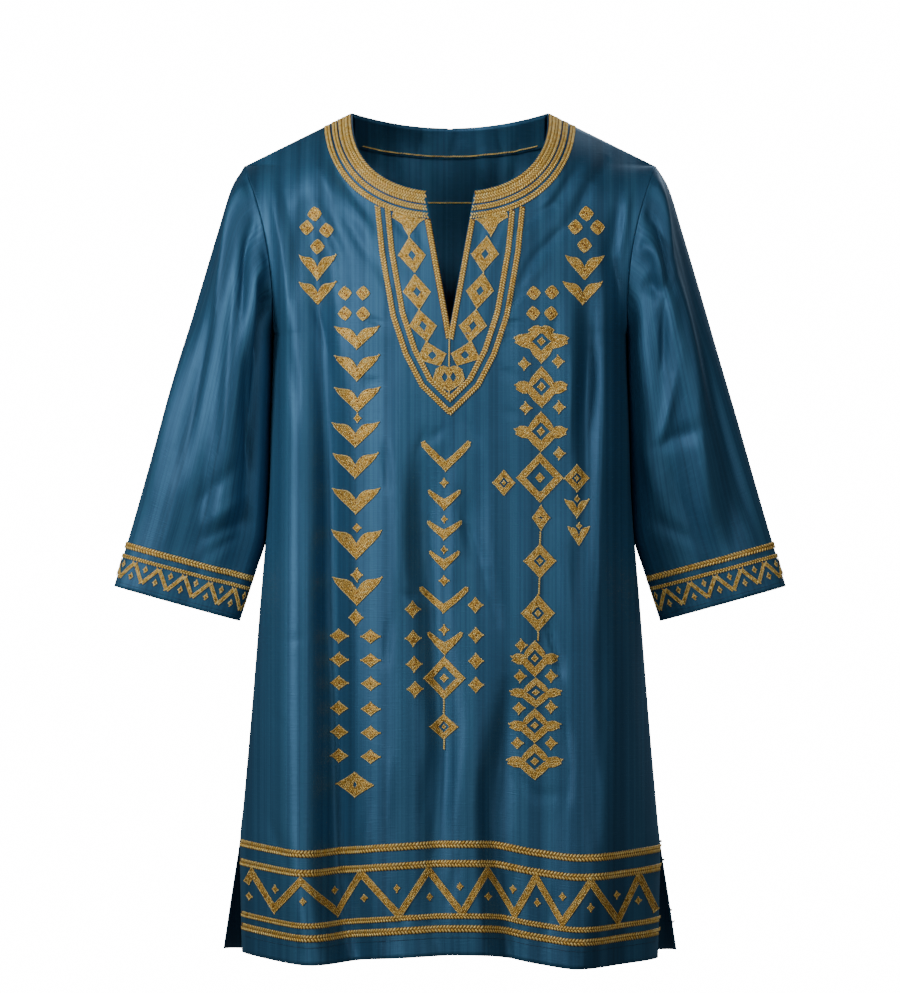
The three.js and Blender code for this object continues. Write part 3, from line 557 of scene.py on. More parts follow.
class Panel:
    """The front or the back: where its cloth lies for each place of the cut."""

    def __init__(self, sign, levels, folds, sag, reach, flutes, creases):
        self.sign, self.levels, self.folds, self.sag = sign, levels, folds, sag
        self.reach, self.flutes, self.creases = reach, flutes, creases
        self.outward = -sign

    def side_edge(self, z):
        """x and stand-out of the side edge: the shoulder tip, then the armhole, then the side seam."""
        level = along(self.levels, z)
        cosine = np.clip(1 - 2 * (SHOULDER_TIP_Z - z) / (SHOULDER_TIP_Z - ARMHOLE_BOTTOM_Z), -1, 1)
        arm_x, _, arm_out = armhole_line(cosine, self.reach)
        below = z <= ARMHOLE_BOTTOM_Z
        above = z >= SHOULDER_TIP_Z
        edge = np.where(below, level[..., 0], np.where(above, SHOULDER_TIP_X, arm_x))
        return edge, np.where(below, level[..., 2], np.where(above, 0, arm_out)), level[..., 1]

    def stand_out(self, x, z):
        """A superellipse between the side edges, rounded over at the shoulder seam, and the broad folds."""
        edge, edge_out, reach = self.side_edge(z)
        across = np.minimum(np.abs(x) / edge, 1)
        below = np.clip((shoulder_line(x) - z) / SHOULDER_ROUND_OVER, 0, 1)
        section = bulge(across, SECTION_SQUARENESS)
        middle = reach * (1 - (1 - below) ** SHOULDER_ROUND_POWER) * section
        folds = np.zeros(np.shape(middle))
        for top_z, top_x, hem_x, depth, top_spread, hem_spread in self.folds:
            t = np.clip((top_z - z) / (top_z - HEM), 0, 1)
            centre = top_x + (hem_x - top_x) * t
            spread = top_spread + (hem_spread - top_spread) * t
            folds += depth * t**1.2 * np.exp(-(((x - centre) / spread) ** 2))
        return np.hypot(middle, edge_out * across**4) + folds * section

    def base(self, x, z):
        """The solid's outer surface."""
        drop = along(self.sag, x)[..., 0] * smoothstep(-z, -SAG_FROM, -VENT_TOP)
        y = self.sign * (self.stand_out(x, z) + SEAM_GAP / 2)
        return np.stack(np.broadcast_arrays(x, y, z - drop), axis=-1)

    def points(self, x, z):
        """The solid's surface with the creases, which fade out at the side seams and the shoulder."""
        place = self.base(x, z)
        edge, _, _ = self.side_edge(z)
        inside = np.clip((edge - np.abs(x)) / SIDE_FADE, 0, 1)
        inside = inside * np.clip((shoulder_line(x) - z) / SHOULDER_FADE, 0, 1)
        height = (crease_height(self.creases, x, z) + flute_height(self.flutes, x, z)) * inside
        return place + np.array((0, self.sign, 0)) * height[..., None]


class Sleeve:
    """One sleeve. u runs round it from its outer line, to the front positive; v runs down from the armhole."""

    def __init__(self, side):
        self.side = side
        self.outward = side
        self.flutes = SLEEVE_FLUTES[side]
        self.creases = SLEEVE_CREASES[side]
        angles = np.linspace(-math.pi, math.pi, 721)
        cuff = self.ring_point(angles, np.full(angles.shape, SLEEVE_LENGTH * 0.95))
        steps = np.linalg.norm(np.diff(cuff, axis=0), axis=1)
        walked = np.concatenate([[0], np.cumsum(steps)])
        self.angles, self.walked = angles, walked - walked[len(walked) // 2]
        self.half = self.walked[-1]

    def ring_point(self, angle, v):
        """A point of the solid's surface: sections between the armhole seam and the cuff, joined smoothly."""
        cosine = np.cos(angle)
        front = angle >= 0
        arm_x, arm_z, _ = armhole_line(cosine, 1)
        arm_reach = np.where(front, FRONT_ARMHOLE_REACH, BACK_ARMHOLE_REACH)
        arm_out = arm_reach * bulge(cosine, ARMHOLE_SQUARENESS)
        rings = [np.stack([arm_x + SEAM_GAP, arm_z, arm_out], -1)]
        for outer_x, outer_z, inner_x, inner_z, reach, back_reach in SLEEVE_SECTIONS:
            x = (outer_x + inner_x) / 2 + (outer_x - inner_x) / 2 * cosine
            z = (outer_z + inner_z) / 2 + (outer_z - inner_z) / 2 * cosine
            out = np.where(front, reach, back_reach) * bulge(cosine, ARMHOLE_SQUARENESS)
            rings.append(np.stack([x, z, out], -1))
        at = np.clip(v / SLEEVE_LENGTH, 0, 1) * len(SLEEVE_SECTIONS)
        weights = hermite_weights(np.arange(len(rings), dtype=float), at)
        x, z, out = np.moveaxis(np.einsum("...k,k...c->...c", weights, np.array(rings)), -1, 0)
        return np.stack([self.side * x, np.where(front, -out, out), z], -1)

    def base(self, u, v):
        wrapped = (u + self.half) % (2 * self.half) - self.half
        return self.ring_point(np.interp(wrapped, self.walked, self.angles), v)

    def points(self, u, v):
        """The solid's surface with the creases, which keep clear of the armhole seam and the cuff's edge."""
        clear = smoothstep(v, 0, 26) * (0.25 + 0.75 * smoothstep(-v, -SLEEVE_LENGTH, -SLEEVE_LENGTH + 40))
        height = (crease_height(self.creases, u, v) + flute_height(self.flutes, u, v)) * clear
        return self.base(u, v) + normals(self.base, self.outward, u, v) * height[..., None]


def normals(surface, outward, u, v, step=0.5):
    """Outward unit normals by central differences."""
    du = surface(u + step, v) - surface(u - step, v)
    dv = surface(u, v + step) - surface(u, v - step)
    return unit(np.cross(du, dv)) * outward


class Chart:
    """A cloth's creased surface, worked out once a millimetre, for all that lies on it."""

    def __init__(self, cloth, u_range, v_range):
        self.outward = cloth.outward
        self.u0, self.v0 = u_range[0], v_range[0]
        u = np.arange(u_range[0], u_range[1] + 1.0)[None, :]
        v = np.arange(v_range[0], v_range[1] + 1.0)[:, None]
        self.grid = cloth.points(u, v)
        dv, du = np.gradient(self.grid, axis=(0, 1))
        self.normals = unit(np.cross(du, dv)) * cloth.outward

    def raised(self, u, v, lift):
        """Points `lift` mm above the cloth, and its normals there, between the four nearest places."""
        rows, columns = self.grid.shape[:2]
        across = np.clip(np.asarray(u, float) - self.u0, 0, columns - 1.001)
        down = np.clip(np.asarray(v, float) - self.v0, 0, rows - 1.001)
        j, i = across.astype(int), down.astype(int)
        s, t = (across - j)[..., None], (down - i)[..., None]
        place, out = (
            (table[i, j] * (1 - s) + table[i, j + 1] * s) * (1 - t)
            + (table[i + 1, j] * (1 - s) + table[i + 1, j + 1] * s) * t
            for table in (self.grid, self.normals)
        )
        out = unit(out)
        return place + out * np.asarray(lift)[..., None], out


class Inside:
    """The inner face of a panel, as a cloth to stitch on."""

    def __init__(self, panel, depth):
        self.panel, self.depth = panel, depth
        self.outward = -panel.outward

    def points(self, u, v):
        panel = self.panel
        return panel.points(u, v) - normals(panel.base, panel.outward, u, v) * self.depth


# `outward` is the sign that turns the cross product of the two cut directions out of the cloth.
FRONT_PANEL = Panel(
    -1, FRONT_LEVELS, FRONT_FOLDS, FRONT_SAG, FRONT_ARMHOLE_REACH, FRONT_FLUTES, FRONT_CREASES
)
BACK_PANEL = Panel(1, BACK_LEVELS, BACK_FOLDS, BACK_SAG, BACK_ARMHOLE_REACH, BACK_FLUTES, BACK_CREASES)
SLEEVES = {-1: Sleeve(-1), 1: Sleeve(1)}
FRONT = Chart(FRONT_PANEL, *PANEL_CHART)
BACK = Chart(BACK_PANEL, *PANEL_CHART)
SLEEVE_CHARTS = {side: Chart(sleeve, *SLEEVE_CHART) for side, sleeve in SLEEVES.items()}
SIDE_NAMES = {-1: "right", 1: "left"}


# ---- meshes ----


class Heap:
    """Collects points, faces and their attributes for one piece."""

    def __init__(self):
        self.points, self.faces, self.tones, self.cuts, self.count = [], [], [], [], 0

    def add(self, points, faces, tone, cut=None):
        """Adds points with an array of faces, or with a tuple of arrays that differ in their corners."""
        self.points.append(points)
        for group in faces if isinstance(faces, tuple) else (faces,):
            self.faces.append((group + self.count).tolist())
        self.tones.append(np.broadcast_to(tone, len(points)))
        self.cuts.append(points[:, [0, 2]] if cut is None else cut)
        self.count += len(points)

    def piece(self, name, material, slot, replaces=()):
        """The collected mesh as an object that rides on the frame. Points are in mm, the mesh in metres."""
        faces = [face for group in self.faces for face in group]
        return new_piece(
            name, np.concatenate(self.points), faces, material, replaces,
            np.concatenate(self.cuts), np.concatenate(self.tones),
        )


def new_piece(name, points, faces, material, replaces, cut, tone=None):
    mesh = bpy.data.meshes.new(name)
    mesh.from_pydata((points * METRES).tolist(), [], faces)
    corners = np.empty(len(mesh.loops), int)
    mesh.loops.foreach_get("vertex_index", corners)
    mesh.uv_layers.new(name="cut").data.foreach_set("uv", (cut[corners] * METRES).ravel())
    if tone is not None:
        mesh.attributes.new("tone", "FLOAT", "POINT").data.foreach_set("value", tone.astype(np.float32))
    mesh.shade_smooth()
    mesh.materials.append(material)
    piece = bpy.data.objects.new(name, mesh)
    bpy.context.scene.collection.objects.link(piece)
    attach(piece, "root")
    if replaces:
        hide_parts(*replaces)
    return piece


def grid_faces(rows, columns, flipped=False, closed=False):
    """Quads of a grid of points, `closed` joining the last column to the first."""
    i = np.arange(rows - 1)[:, None]
    j = np.arange(columns if closed else columns - 1)[None, :]
    k = (j + 1) % columns
    row, below = i * columns, (i + 1) * columns
    quads = np.stack(np.broadcast_arrays(row + j, row + k, below + k, below + j), -1).reshape(-1, 4)
    return quads[:, ::-1] if flipped else quads


def welded(points, faces, cut):
    """Merges the points of two halves that meet within a hundredth of a millimetre."""
    rounded = np.round(points * 100).astype(int)
    _, first, index = np.unique(rounded, axis=0, return_index=True, return_inverse=True)
    return points[first], index.ravel()[faces].tolist(), cut[first]


def thicken(piece, thickness):
    """Gives a sheet its thickness inwards, with closed edges."""
    solidify = piece.modifiers.new("Thickness", "SOLIDIFY")
    solidify.thickness = thickness
    solidify.offset = -1


def walk(cloth, line, pitch, lift=0.0):
    """Places at equal steps along a line of the cut, measured on the cloth: u, v and the heading there."""
    line = np.asarray(line, float)
    along_line = np.linspace(0, len(line) - 1, max(40 * (len(line) - 1), 400))
    u = np.interp(along_line, np.arange(len(line)), line[:, 0])
    v = np.interp(along_line, np.arange(len(line)), line[:, 1])
    steps = np.linalg.norm(np.diff(cloth.raised(u, v, lift)[0], axis=0), axis=1)
    walked = np.concatenate([[0], np.cumsum(steps)])
    count = max(int(round(walked[-1] / pitch)), 1)
    at = (np.arange(count) + 0.5) * walked[-1] / count
    place = np.interp(at, walked, along_line)
    i = np.minimum(place.astype(int), len(line) - 2)
    heading = np.arctan2(line[i + 1, 1] - line[i, 1], line[i + 1, 0] - line[i, 0])
    return np.interp(at, walked, u), np.interp(at, walked, v), heading


def beside(line, distance):
    """A line moved sideways in the cut, to the left of its run, with mitred corners."""
    line = np.asarray(line, float)
    steps = unit(np.diff(line, axis=0))
    a = np.vstack([steps[:1], steps])
    b = np.vstack([steps, steps[-1:]])
    across = unit(np.stack([-(a[:, 1] + b[:, 1]), a[:, 0] + b[:, 0]], -1))
    mitre = distance / np.maximum(across[:, 0] * -a[:, 1] + across[:, 1] * a[:, 0], 0.35)
    return line + across * mitre[:, None]


def smooth_line(points, per_span=6):
    """A smooth curve through a few points, by Hermite pieces on their index."""
    points = np.asarray(points, float)
    at = np.linspace(0, len(points) - 1, (len(points) - 1) * per_span + 1)
    return hermite_weights(np.arange(len(points), dtype=float), at) @ points


# One grain of stitched thread: a spindle of two five-sided rings between two poles, unit half length.
GRAIN_SIDES = 5
GRAIN_RING = 0.42  # from the middle to a ring
GRAIN_GIRTH = 0.92  # of a ring, where the grain's full width is 1
GRAIN_AHEAD = 0.8  # how far along the cut the cloth's own directions are taken (mm)


def grain_template():
    turn = np.arange(GRAIN_SIDES) * 2 * math.pi / GRAIN_SIDES
    across, up = GRAIN_GIRTH * np.cos(turn), GRAIN_GIRTH * np.sin(turn)
    rings = [np.stack([np.full(GRAIN_SIDES, x), across, up], -1) for x in (-GRAIN_RING, GRAIN_RING)]
    points = np.vstack([[(-1, 0, 0)], *rings, [(1, 0, 0)]])
    k = np.arange(GRAIN_SIDES)
    n = (k + 1) % GRAIN_SIDES
    last = 2 * GRAIN_SIDES + 1
    start = np.stack([np.zeros(GRAIN_SIDES, int), 1 + n, 1 + k], -1)
    middle = np.stack([1 + k, 1 + n, 1 + GRAIN_SIDES + n, 1 + GRAIN_SIDES + k], -1)
    end = np.stack([np.full(GRAIN_SIDES, last), 1 + GRAIN_SIDES + k, 1 + GRAIN_SIDES + n], -1)
    return points, (start, middle, end)


GRAIN_POINTS, GRAIN_FACES = grain_template()


def add_grains(heap, cloth, u, v, heading, length, width, height, lift, tone):
    """Spindles on the cloth: the unit grain stretched along its heading, across it and out of the cloth.
    The heading is an angle in the cloth's own surface, so a braid's slant stays even where it turns away."""
    u, v, heading = (np.asarray(a, float) for a in (u, v, heading))
    if not len(u):
        return
    centre, out = cloth.raised(u, v, lift)
    ahead_u = unit(cloth.raised(u + GRAIN_AHEAD, v, lift)[0] - centre)
    ahead_v = unit(cloth.raised(u, v + GRAIN_AHEAD, lift)[0] - centre)
    along_it = unit(np.cos(heading)[:, None] * ahead_u + np.sin(heading)[:, None] * ahead_v)
    across = np.cross(out, along_it)
    halves = [np.broadcast_to(np.asarray(size) / 2, len(u)) for size in (length, width, height)]
    local = GRAIN_POINTS[None] * np.stack(halves, -1)[:, None]
    points = centre[:, None] + (
        local[..., :1] * along_it[:, None] + local[..., 1:2] * across[:, None] + local[..., 2:] * out[:, None]
    )
    count = len(GRAIN_POINTS)
    start = np.arange(len(u))[:, None, None] * count
    cut = np.repeat(np.stack([u, v], -1), count, axis=0)
    tones = np.repeat(np.broadcast_to(tone, len(u)), count)
    faces = tuple((start + corners).reshape(-1, corners.shape[1]) for corners in GRAIN_FACES)
    heap.add(points.reshape(-1, 3), faces, tones, cut)


TAPE_SHADE_TONE = 0.1  # the braid's ground, given a dark tone: painted shade where it shows between its strands
TAPE_FOOT = 0.05  # height of a tape's edges above the cloth
TAPE_SHOULDER = 0.85  # height beside the edges, as a share of the middle's
TAPE_ROUND = 0.3  # width of the rounding at each edge


def add_tape(heap, cloth, line, near, far, height, tone, top=None):
    """A flat tape beside a line of the cut: a low closed section carried along it, with closed ends.
    `top` gives the highest place of the cut that the tape may reach at each u."""
    line = np.asarray(line, float)
    span = np.linspace(0, len(line) - 1, max(8 * (len(line) - 1), 90))
    index = np.arange(len(line))
    middle = (near + far) / 2
    foot, shoulder = TAPE_FOOT, height * TAPE_SHOULDER
    section = [
        (near, foot), (near + TAPE_ROUND, shoulder), (middle, height), (far - TAPE_ROUND, shoulder),
        (far, foot),
    ]
    rings = []
    for distance, lift in section:
        moved = beside(line, distance)
        u, v = np.interp(span, index, moved[:, 0]), np.interp(span, index, moved[:, 1])
        v = v if top is None else np.minimum(v, top(u))
        rings.append(cloth.raised(u, v, lift)[0])
    points = np.stack(rings, axis=1)
    count = len(section)
    faces = grid_faces(len(span), count, flipped=cloth.outward > 0, closed=True)
    ends = np.array([range(count), range(len(span) * count - 1, (len(span) - 1) * count - 1, -1)])
    ends = ends if cloth.outward > 0 else ends[:, ::-1]
    heap.add(points.reshape(-1, 3), (faces, ends), tone)


PLAIT_SLANT = 52  # degrees between a strand and the run of its braid
STRAND_FILL = 0.72  # a strand's length and width, as shares of the braid's width and spacing
STRAND_HEIGHT = 1.25
STRAND_LIFT = 0.95


def add_plait(heap, cloth, line, distance, width, pitch, kept=None, seed=0):
    """Two rows of slanting strands that meet in the middle, as a flat plait shows them."""
    random = np.random.default_rng(seed)
    for row, side in enumerate((-1, 1)):
        u, v, heading = walk(cloth, beside(line, distance + side * width / 4), pitch)
        shift = 0.5 * pitch * row
        u, v = u + shift * np.cos(heading), v + shift * np.sin(heading)
        keep = np.ones(len(u), bool) if kept is None else kept(u, v)
        u, v, heading = u[keep], v[keep], heading[keep]
        slant = heading + side * math.radians(PLAIT_SLANT) + random.normal(0, 0.05, len(u))
        tone = np.clip(0.6 + random.normal(0, 0.1, len(u)), 0.2, 1)
        size = width * STRAND_FILL, pitch * STRAND_FILL, STRAND_HEIGHT
        add_grains(heap, cloth, u, v, slant, *size, STRAND_LIFT, tone)


# ---- motif outlines: loops of points around their own middle or top (mm) ----


def diamond(width, height, squareness=1.0, turn=0.0):
    """A superellipse through the four tips: below 1 its sides curve in, above 1 they curve out."""
    angle = np.linspace(0, 2 * math.pi, 33)[:-1]
    c, s = np.cos(angle), np.sin(angle)
    x = width / 2 * np.sign(c) * np.abs(c) ** (2 / squareness)
    z = height / 2 * np.sign(s) * np.abs(s) ** (2 / squareness)
    a = math.radians(turn)
    return np.stack([x * math.cos(a) - z * math.sin(a), x * math.sin(a) + z * math.cos(a)], -1)


def mirror_loop(half):
    """A loop from its right half, listed from the top middle to the bottom middle."""
    half = np.asarray(half, float)
    left = half[::-1] * (-1, 1)
    return np.vstack([half, left[1:-1]])


def bird(width, height):
    """Two spread wings: arched upper edges that dip to a notch, straight lower edges that meet in a point."""
    upper = smooth_line([(0, -0.43), (0.09, -0.2), (0.2, -0.08), (0.35, -0.05), (0.5, 0.02)], 3)
    lower = [(0.44, -0.2), (0.33, -0.42), (0.2, -0.64), (0.09, -0.84), (0, -1)]
    return mirror_loop(np.vstack([upper, lower]) * (width, height))


def chevron(width, height, notch):
    """A V with blunt ends; the notch is how far down its middle the inner edges meet."""
    upper = [(0, -notch), (0.14, -0.7 * notch), (0.3, -0.3 * notch), (0.43, 0.02)]
    lower = [(0.5, -0.02), (0.49, -0.17), (0.39, -0.36), (0.25, -0.6), (0.12, -0.8), (0, -1)]
    return mirror_loop(np.array(upper + lower) * (width, height))


def medallion(width, height):
    """A pointed diamond with a lobed wing on each side."""
    half = [
        (0, 0), (0.1, -0.13), (0.19, -0.27), (0.235, -0.38), (0.33, -0.35), (0.39, -0.355), (0.45, -0.4),
        (0.505, -0.44), (0.47, -0.5), (0.475, -0.56), (0.43, -0.6), (0.35, -0.655), (0.25, -0.665),
        (0.155, -0.81), (0, -1),
    ]
    return mirror_loop(np.array(half) * (width, height))


def crowned_medallion(width, height):
    """The top medallion of the column: broad lobes in place of the upper point."""
    half = [
        (0, -0.04), (0.07, 0.0), (0.15, -0.03), (0.24, -0.12), (0.21, -0.2), (0.33, -0.23), (0.42, -0.25),
        (0.51, -0.33), (0.47, -0.4), (0.48, -0.47), (0.35, -0.57), (0.21, -0.62), (0.16, -0.76), (0, -1),
    ]
    return mirror_loop(np.array(half) * (width, height))


def trefoil(side):
    """Three lobes that hang from the neck's braid and end in a point."""
    loop = [
        (-14, 3), (0, -2), (15.5, -5.5), (8.5, -11), (4, -17), (-0.6, -23.5), (-5, -16), (-7.5, -10.5),
        (-13, -6.5), (-17.5, -4), (-16.5, 1),
    ]
    return np.array(loop) * (-side, 1)


def band_loop(line, width):
    """A band of even width along an open line, with mitred corners."""
    return np.vstack([beside(line, width / 2), beside(line, -width / 2)[::-1]])


def moved(loop, x, z):
    return loop + (x, z)


def nearest_edge(loops, u, v):
    """For each point, the distance to the nearest edge of the loops, that edge's heading, and whether the
    point is inside by the even-odd rule."""
    starts = np.vstack(loops)
    ends = np.vstack([np.roll(loop, -1, axis=0) for loop in loops])
    run = ends - starts
    du, dv = u[:, None] - starts[:, 0], v[:, None] - starts[:, 1]
    share = np.clip((du * run[:, 0] + dv * run[:, 1]) / np.maximum((run**2).sum(1), 1e-9), 0, 1)
    distance = np.hypot(du - share * run[:, 0], dv - share * run[:, 1])
    nearest = distance.argmin(1)
    crosses = (starts[:, 1] > v[:, None]) != (ends[:, 1] > v[:, None])
    rise = np.where(run[:, 1] == 0, 1, run[:, 1])
    inside = (crosses & (du < dv / rise * run[:, 0])).sum(1) % 2 == 1
    heading = np.arctan2(run[nearest, 1], run[nearest, 0])
    return distance.min(1), heading, inside


# Embroidery (mm): the bed's cells, the lattice of the filling, and the stitches: length, width, height.
BED_CELL = 1.1
BED_MARGIN = 0.3
BED_RIM = -0.15  # the bed's rim dips into the cloth
BED_SHARE = 0.45  # of the relief
# The bed's low tone is painted shade: it shows brown in the gaps between the stitches.
BED_SHADE_TONE = 0.16
FILL_PITCH = 1.75
FILL_SPACING = 1.05, 0.86  # of the lattice, across and down, as shares of the pitch
FILL_JITTER = 0.22
FILL_MARGIN = 1.35
FILL_STITCH = 1.35, 0.95  # width and height
EDGE_PITCH = 1.75
EDGE_INSET = 0.75
EDGE_STITCH = 2.35, 1.3, 1.1
KNOT_STITCH = 1.9, 1.7, 1.3
KNOT_HEADING = 1.2


def add_bed(heap, cloth, loops, low, high, relief):
    """The low padding of a motif: the cells of a square grid that lie inside its loops."""
    columns, rows = (int((high[i] - low[i]) / BED_CELL) + 2 for i in (0, 1))
    u, v = np.meshgrid(low[0] + np.arange(columns) * BED_CELL, low[1] + np.arange(rows) * BED_CELL)
    u, v = u.ravel(), v.ravel()
    faces = grid_faces(rows, columns)
    distance, _, inside = nearest_edge(loops, u[faces].mean(1), v[faces].mean(1))
    faces = faces[inside & (distance > BED_MARGIN)]
    used, index, shared = np.unique(faces, return_inverse=True, return_counts=True)
    if not len(used):
        return
    bed = index.reshape(-1, 4)
    bed = bed[:, ::-1] if cloth.outward < 0 else bed
    lift = np.where(shared < 4, BED_RIM, BED_SHARE * relief)
    # Painted shade: the bed's cells take the dark bed tone.
    heap.add(cloth.raised(u[used], v[used], lift)[0], bed, BED_SHADE_TONE, np.stack([u[used], v[used]], -1))


def add_filling(heap, cloth, loops, low, high, relief, pitch, random):
    """Short stitches on a jittered lattice, each slanting to the nearest edge."""
    stitch = bpy.context.scene.tunic_gold.stitch / METRES
    across, down = (pitch * share for share in FILL_SPACING)
    u, v = np.meshgrid(np.arange(low[0], high[0], across), np.arange(low[1], high[1], down))
    u = u + (np.arange(len(v)) % 2)[:, None] * pitch * 0.5
    u = u.ravel() + random.normal(0, FILL_JITTER, u.size)
    v = v.ravel() + random.normal(0, FILL_JITTER, v.size)
    distance, heading, inside = nearest_edge(loops, u, v)
    keep = inside & (distance > FILL_MARGIN)
    count = int(keep.sum())
    slant = heading[keep] + random.normal(0.25, 0.35, count)
    tone = np.clip(0.5 + random.normal(0, 0.2, count), 0.08, 1)
    length = stitch * random.uniform(0.8, 1.1, count)
    lift = relief * random.uniform(0.5, 0.68, count)
    add_grains(heap, cloth, u[keep], v[keep], slant, length, *FILL_STITCH, lift, tone)


def add_edge_rows(heap, cloth, loops, relief, random):
    """A row of slanting stitches just inside every edge."""
    for loop in loops:
        edge_u, edge_v, heading = walk(cloth, np.vstack([loop, loop[:1]]), EDGE_PITCH)
        for side in (-1, 1):
            u = edge_u + side * EDGE_INSET * np.sin(heading)
            v = edge_v - side * EDGE_INSET * np.cos(heading)
            _, _, inside = nearest_edge(loops, u, v)
            count = int(inside.sum())
            tone = np.clip(0.56 + random.normal(0, 0.16, count), 0.1, 1)
            slant = heading[inside] + 0.5 + random.normal(0, 0.12, count)
            add_grains(heap, cloth, u[inside], v[inside], slant, *EDGE_STITCH, 0.6 * relief, tone)


def add_motif(heap, cloth, loops, seed, pitch=FILL_PITCH, knots=()):
    """A stitch-filled motif: a low bed, filling stitches, a row along each edge and small reddish knots."""
    random = np.random.default_rng(seed)
    relief = bpy.context.scene.tunic_gold.relief / METRES
    every = np.vstack(loops)
    low, high = every.min(0) - 1, every.max(0) + 1
    add_bed(heap, cloth, loops, low, high, relief)
    add_filling(heap, cloth, loops, low, high, relief, pitch, random)
    add_edge_rows(heap, cloth, loops, relief, random)
    if len(knots):
        u, v = np.asarray(knots, float).T
        add_grains(heap, cloth, u, v, np.full(len(u), KNOT_HEADING), *KNOT_STITCH, relief * 0.85, 0.0)


def add_thread(heap, cloth, line, pitch=1.9, width=1.15, lift=0.7, slant=0.45, tone=0.62, seed=0):
    """A twisted thread laid on the cloth: one row of slanting grains."""
    u, v, heading = walk(cloth, line, pitch)
    random = np.random.default_rng(seed)
    tones = np.clip(tone + random.normal(0, 0.1, len(u)), 0.1, 1)
    add_grains(heap, cloth, u, v, heading + slant, pitch * 1.55, width, width, lift, tones)


def cut_height(x, z):
    """The z of the front's cut that hangs at a height of the hung garment, found by repeating the drop."""
    x, hung = np.asarray(x, float), np.asarray(z, float)
    cut = hung.copy()
    for _ in range(6):
        cut = hung + along(FRONT_SAG, x)[..., 0] * smoothstep(-cut, -SAG_FROM, -VENT_TOP)
    return cut


def hung(loop):
    """A loop measured on the hung garment's front, as places of the cut."""
    return np.stack([loop[:, 0], cut_height(loop[:, 0], loop[:, 1])], -1)


# ---- materials ----


def add_node(tree, kind, settings=None, **links):
    """Adds a node, sets its own settings and its inputs; an input that is a socket is linked."""
    node = tree.nodes.new(kind)
    for name, value in (settings or {}).items():
        setattr(node, name, value)
    for name, value in links.items():
        place = int(name[1:]) if name[0] == "_" and name[1:].isdigit() else name.replace("_", " ")
        if isinstance(value, bpy.types.NodeSocket):
            tree.links.new(value, node.inputs[place])
        else:
            node.inputs[place].default_value = value
    return node


def ramp(tree, factor, stops, interpolation="LINEAR"):
    """A colour ramp with (position, colour) stops."""
    node = add_node(tree, "ShaderNodeValToRGB", Fac=factor)
    node.color_ramp.interpolation = interpolation
    for i, (position, rgba) in enumerate(stops):
        element = node.color_ramp.elements[i] if i < 2 else node.color_ramp.elements.new(position)
        element.position = position
        element.color = rgba
    return node.outputs["Color"]


def grey(percent):
    """A linear grey, for masks."""
    return (percent / 100,) * 3 + (1.0,)


def new_material(name):
    material = bpy.data.materials.new(name)
    material.use_nodes = True
    tree = material.node_tree
    tree.nodes.clear()
    shader = add_node(tree, "ShaderNodeBsdfPrincipled")
    add_node(tree, "ShaderNodeOutputMaterial", Surface=shader.outputs["BSDF"])
    return material, tree, shader


def stretched(tree, coordinates, across, down, shift=0.0):
    """The cut's coordinates counted in cells of a real size (metres)."""
    node = add_node(
        tree, "ShaderNodeMapping", Vector=coordinates, Scale=(1 / across, 1 / down, 1),
        Location=(shift, shift, 0)
    )
    return node.outputs["Vector"]


def noise(tree, vector, detail=2.0, roughness=0.5):
    node = add_node(
        tree, "ShaderNodeTexNoise", {"noise_dimensions": "2D"},
        Vector=vector, Scale=1.0, Detail=detail, Roughness=roughness,
    )
    return node.outputs["Fac"]


def blended(tree, factor, a, b, mode="MIX"):
    node = add_node(tree, "ShaderNodeMix", {"data_type": "RGBA", "blend_type": mode})
    for place, value in ((0, factor), (6, a), (7, b)):
        if isinstance(value, bpy.types.NodeSocket):
            tree.links.new(value, node.inputs[place])
        else:
            node.inputs[place].default_value = value
    return node.outputs[2]


def arithmetic(tree, operation, a, b):
    return add_node(tree, "ShaderNodeMath", {"operation": operation}, _0=a, _1=b).outputs[0]


def summed(tree, *parts):
    """The sum of (socket, weight) parts."""
    total = arithmetic(tree, "MULTIPLY", *parts[0])
    for socket, weight in parts[1:]:
        total = arithmetic(tree, "ADD", total, arithmetic(tree, "MULTIPLY", socket, weight))
    return total


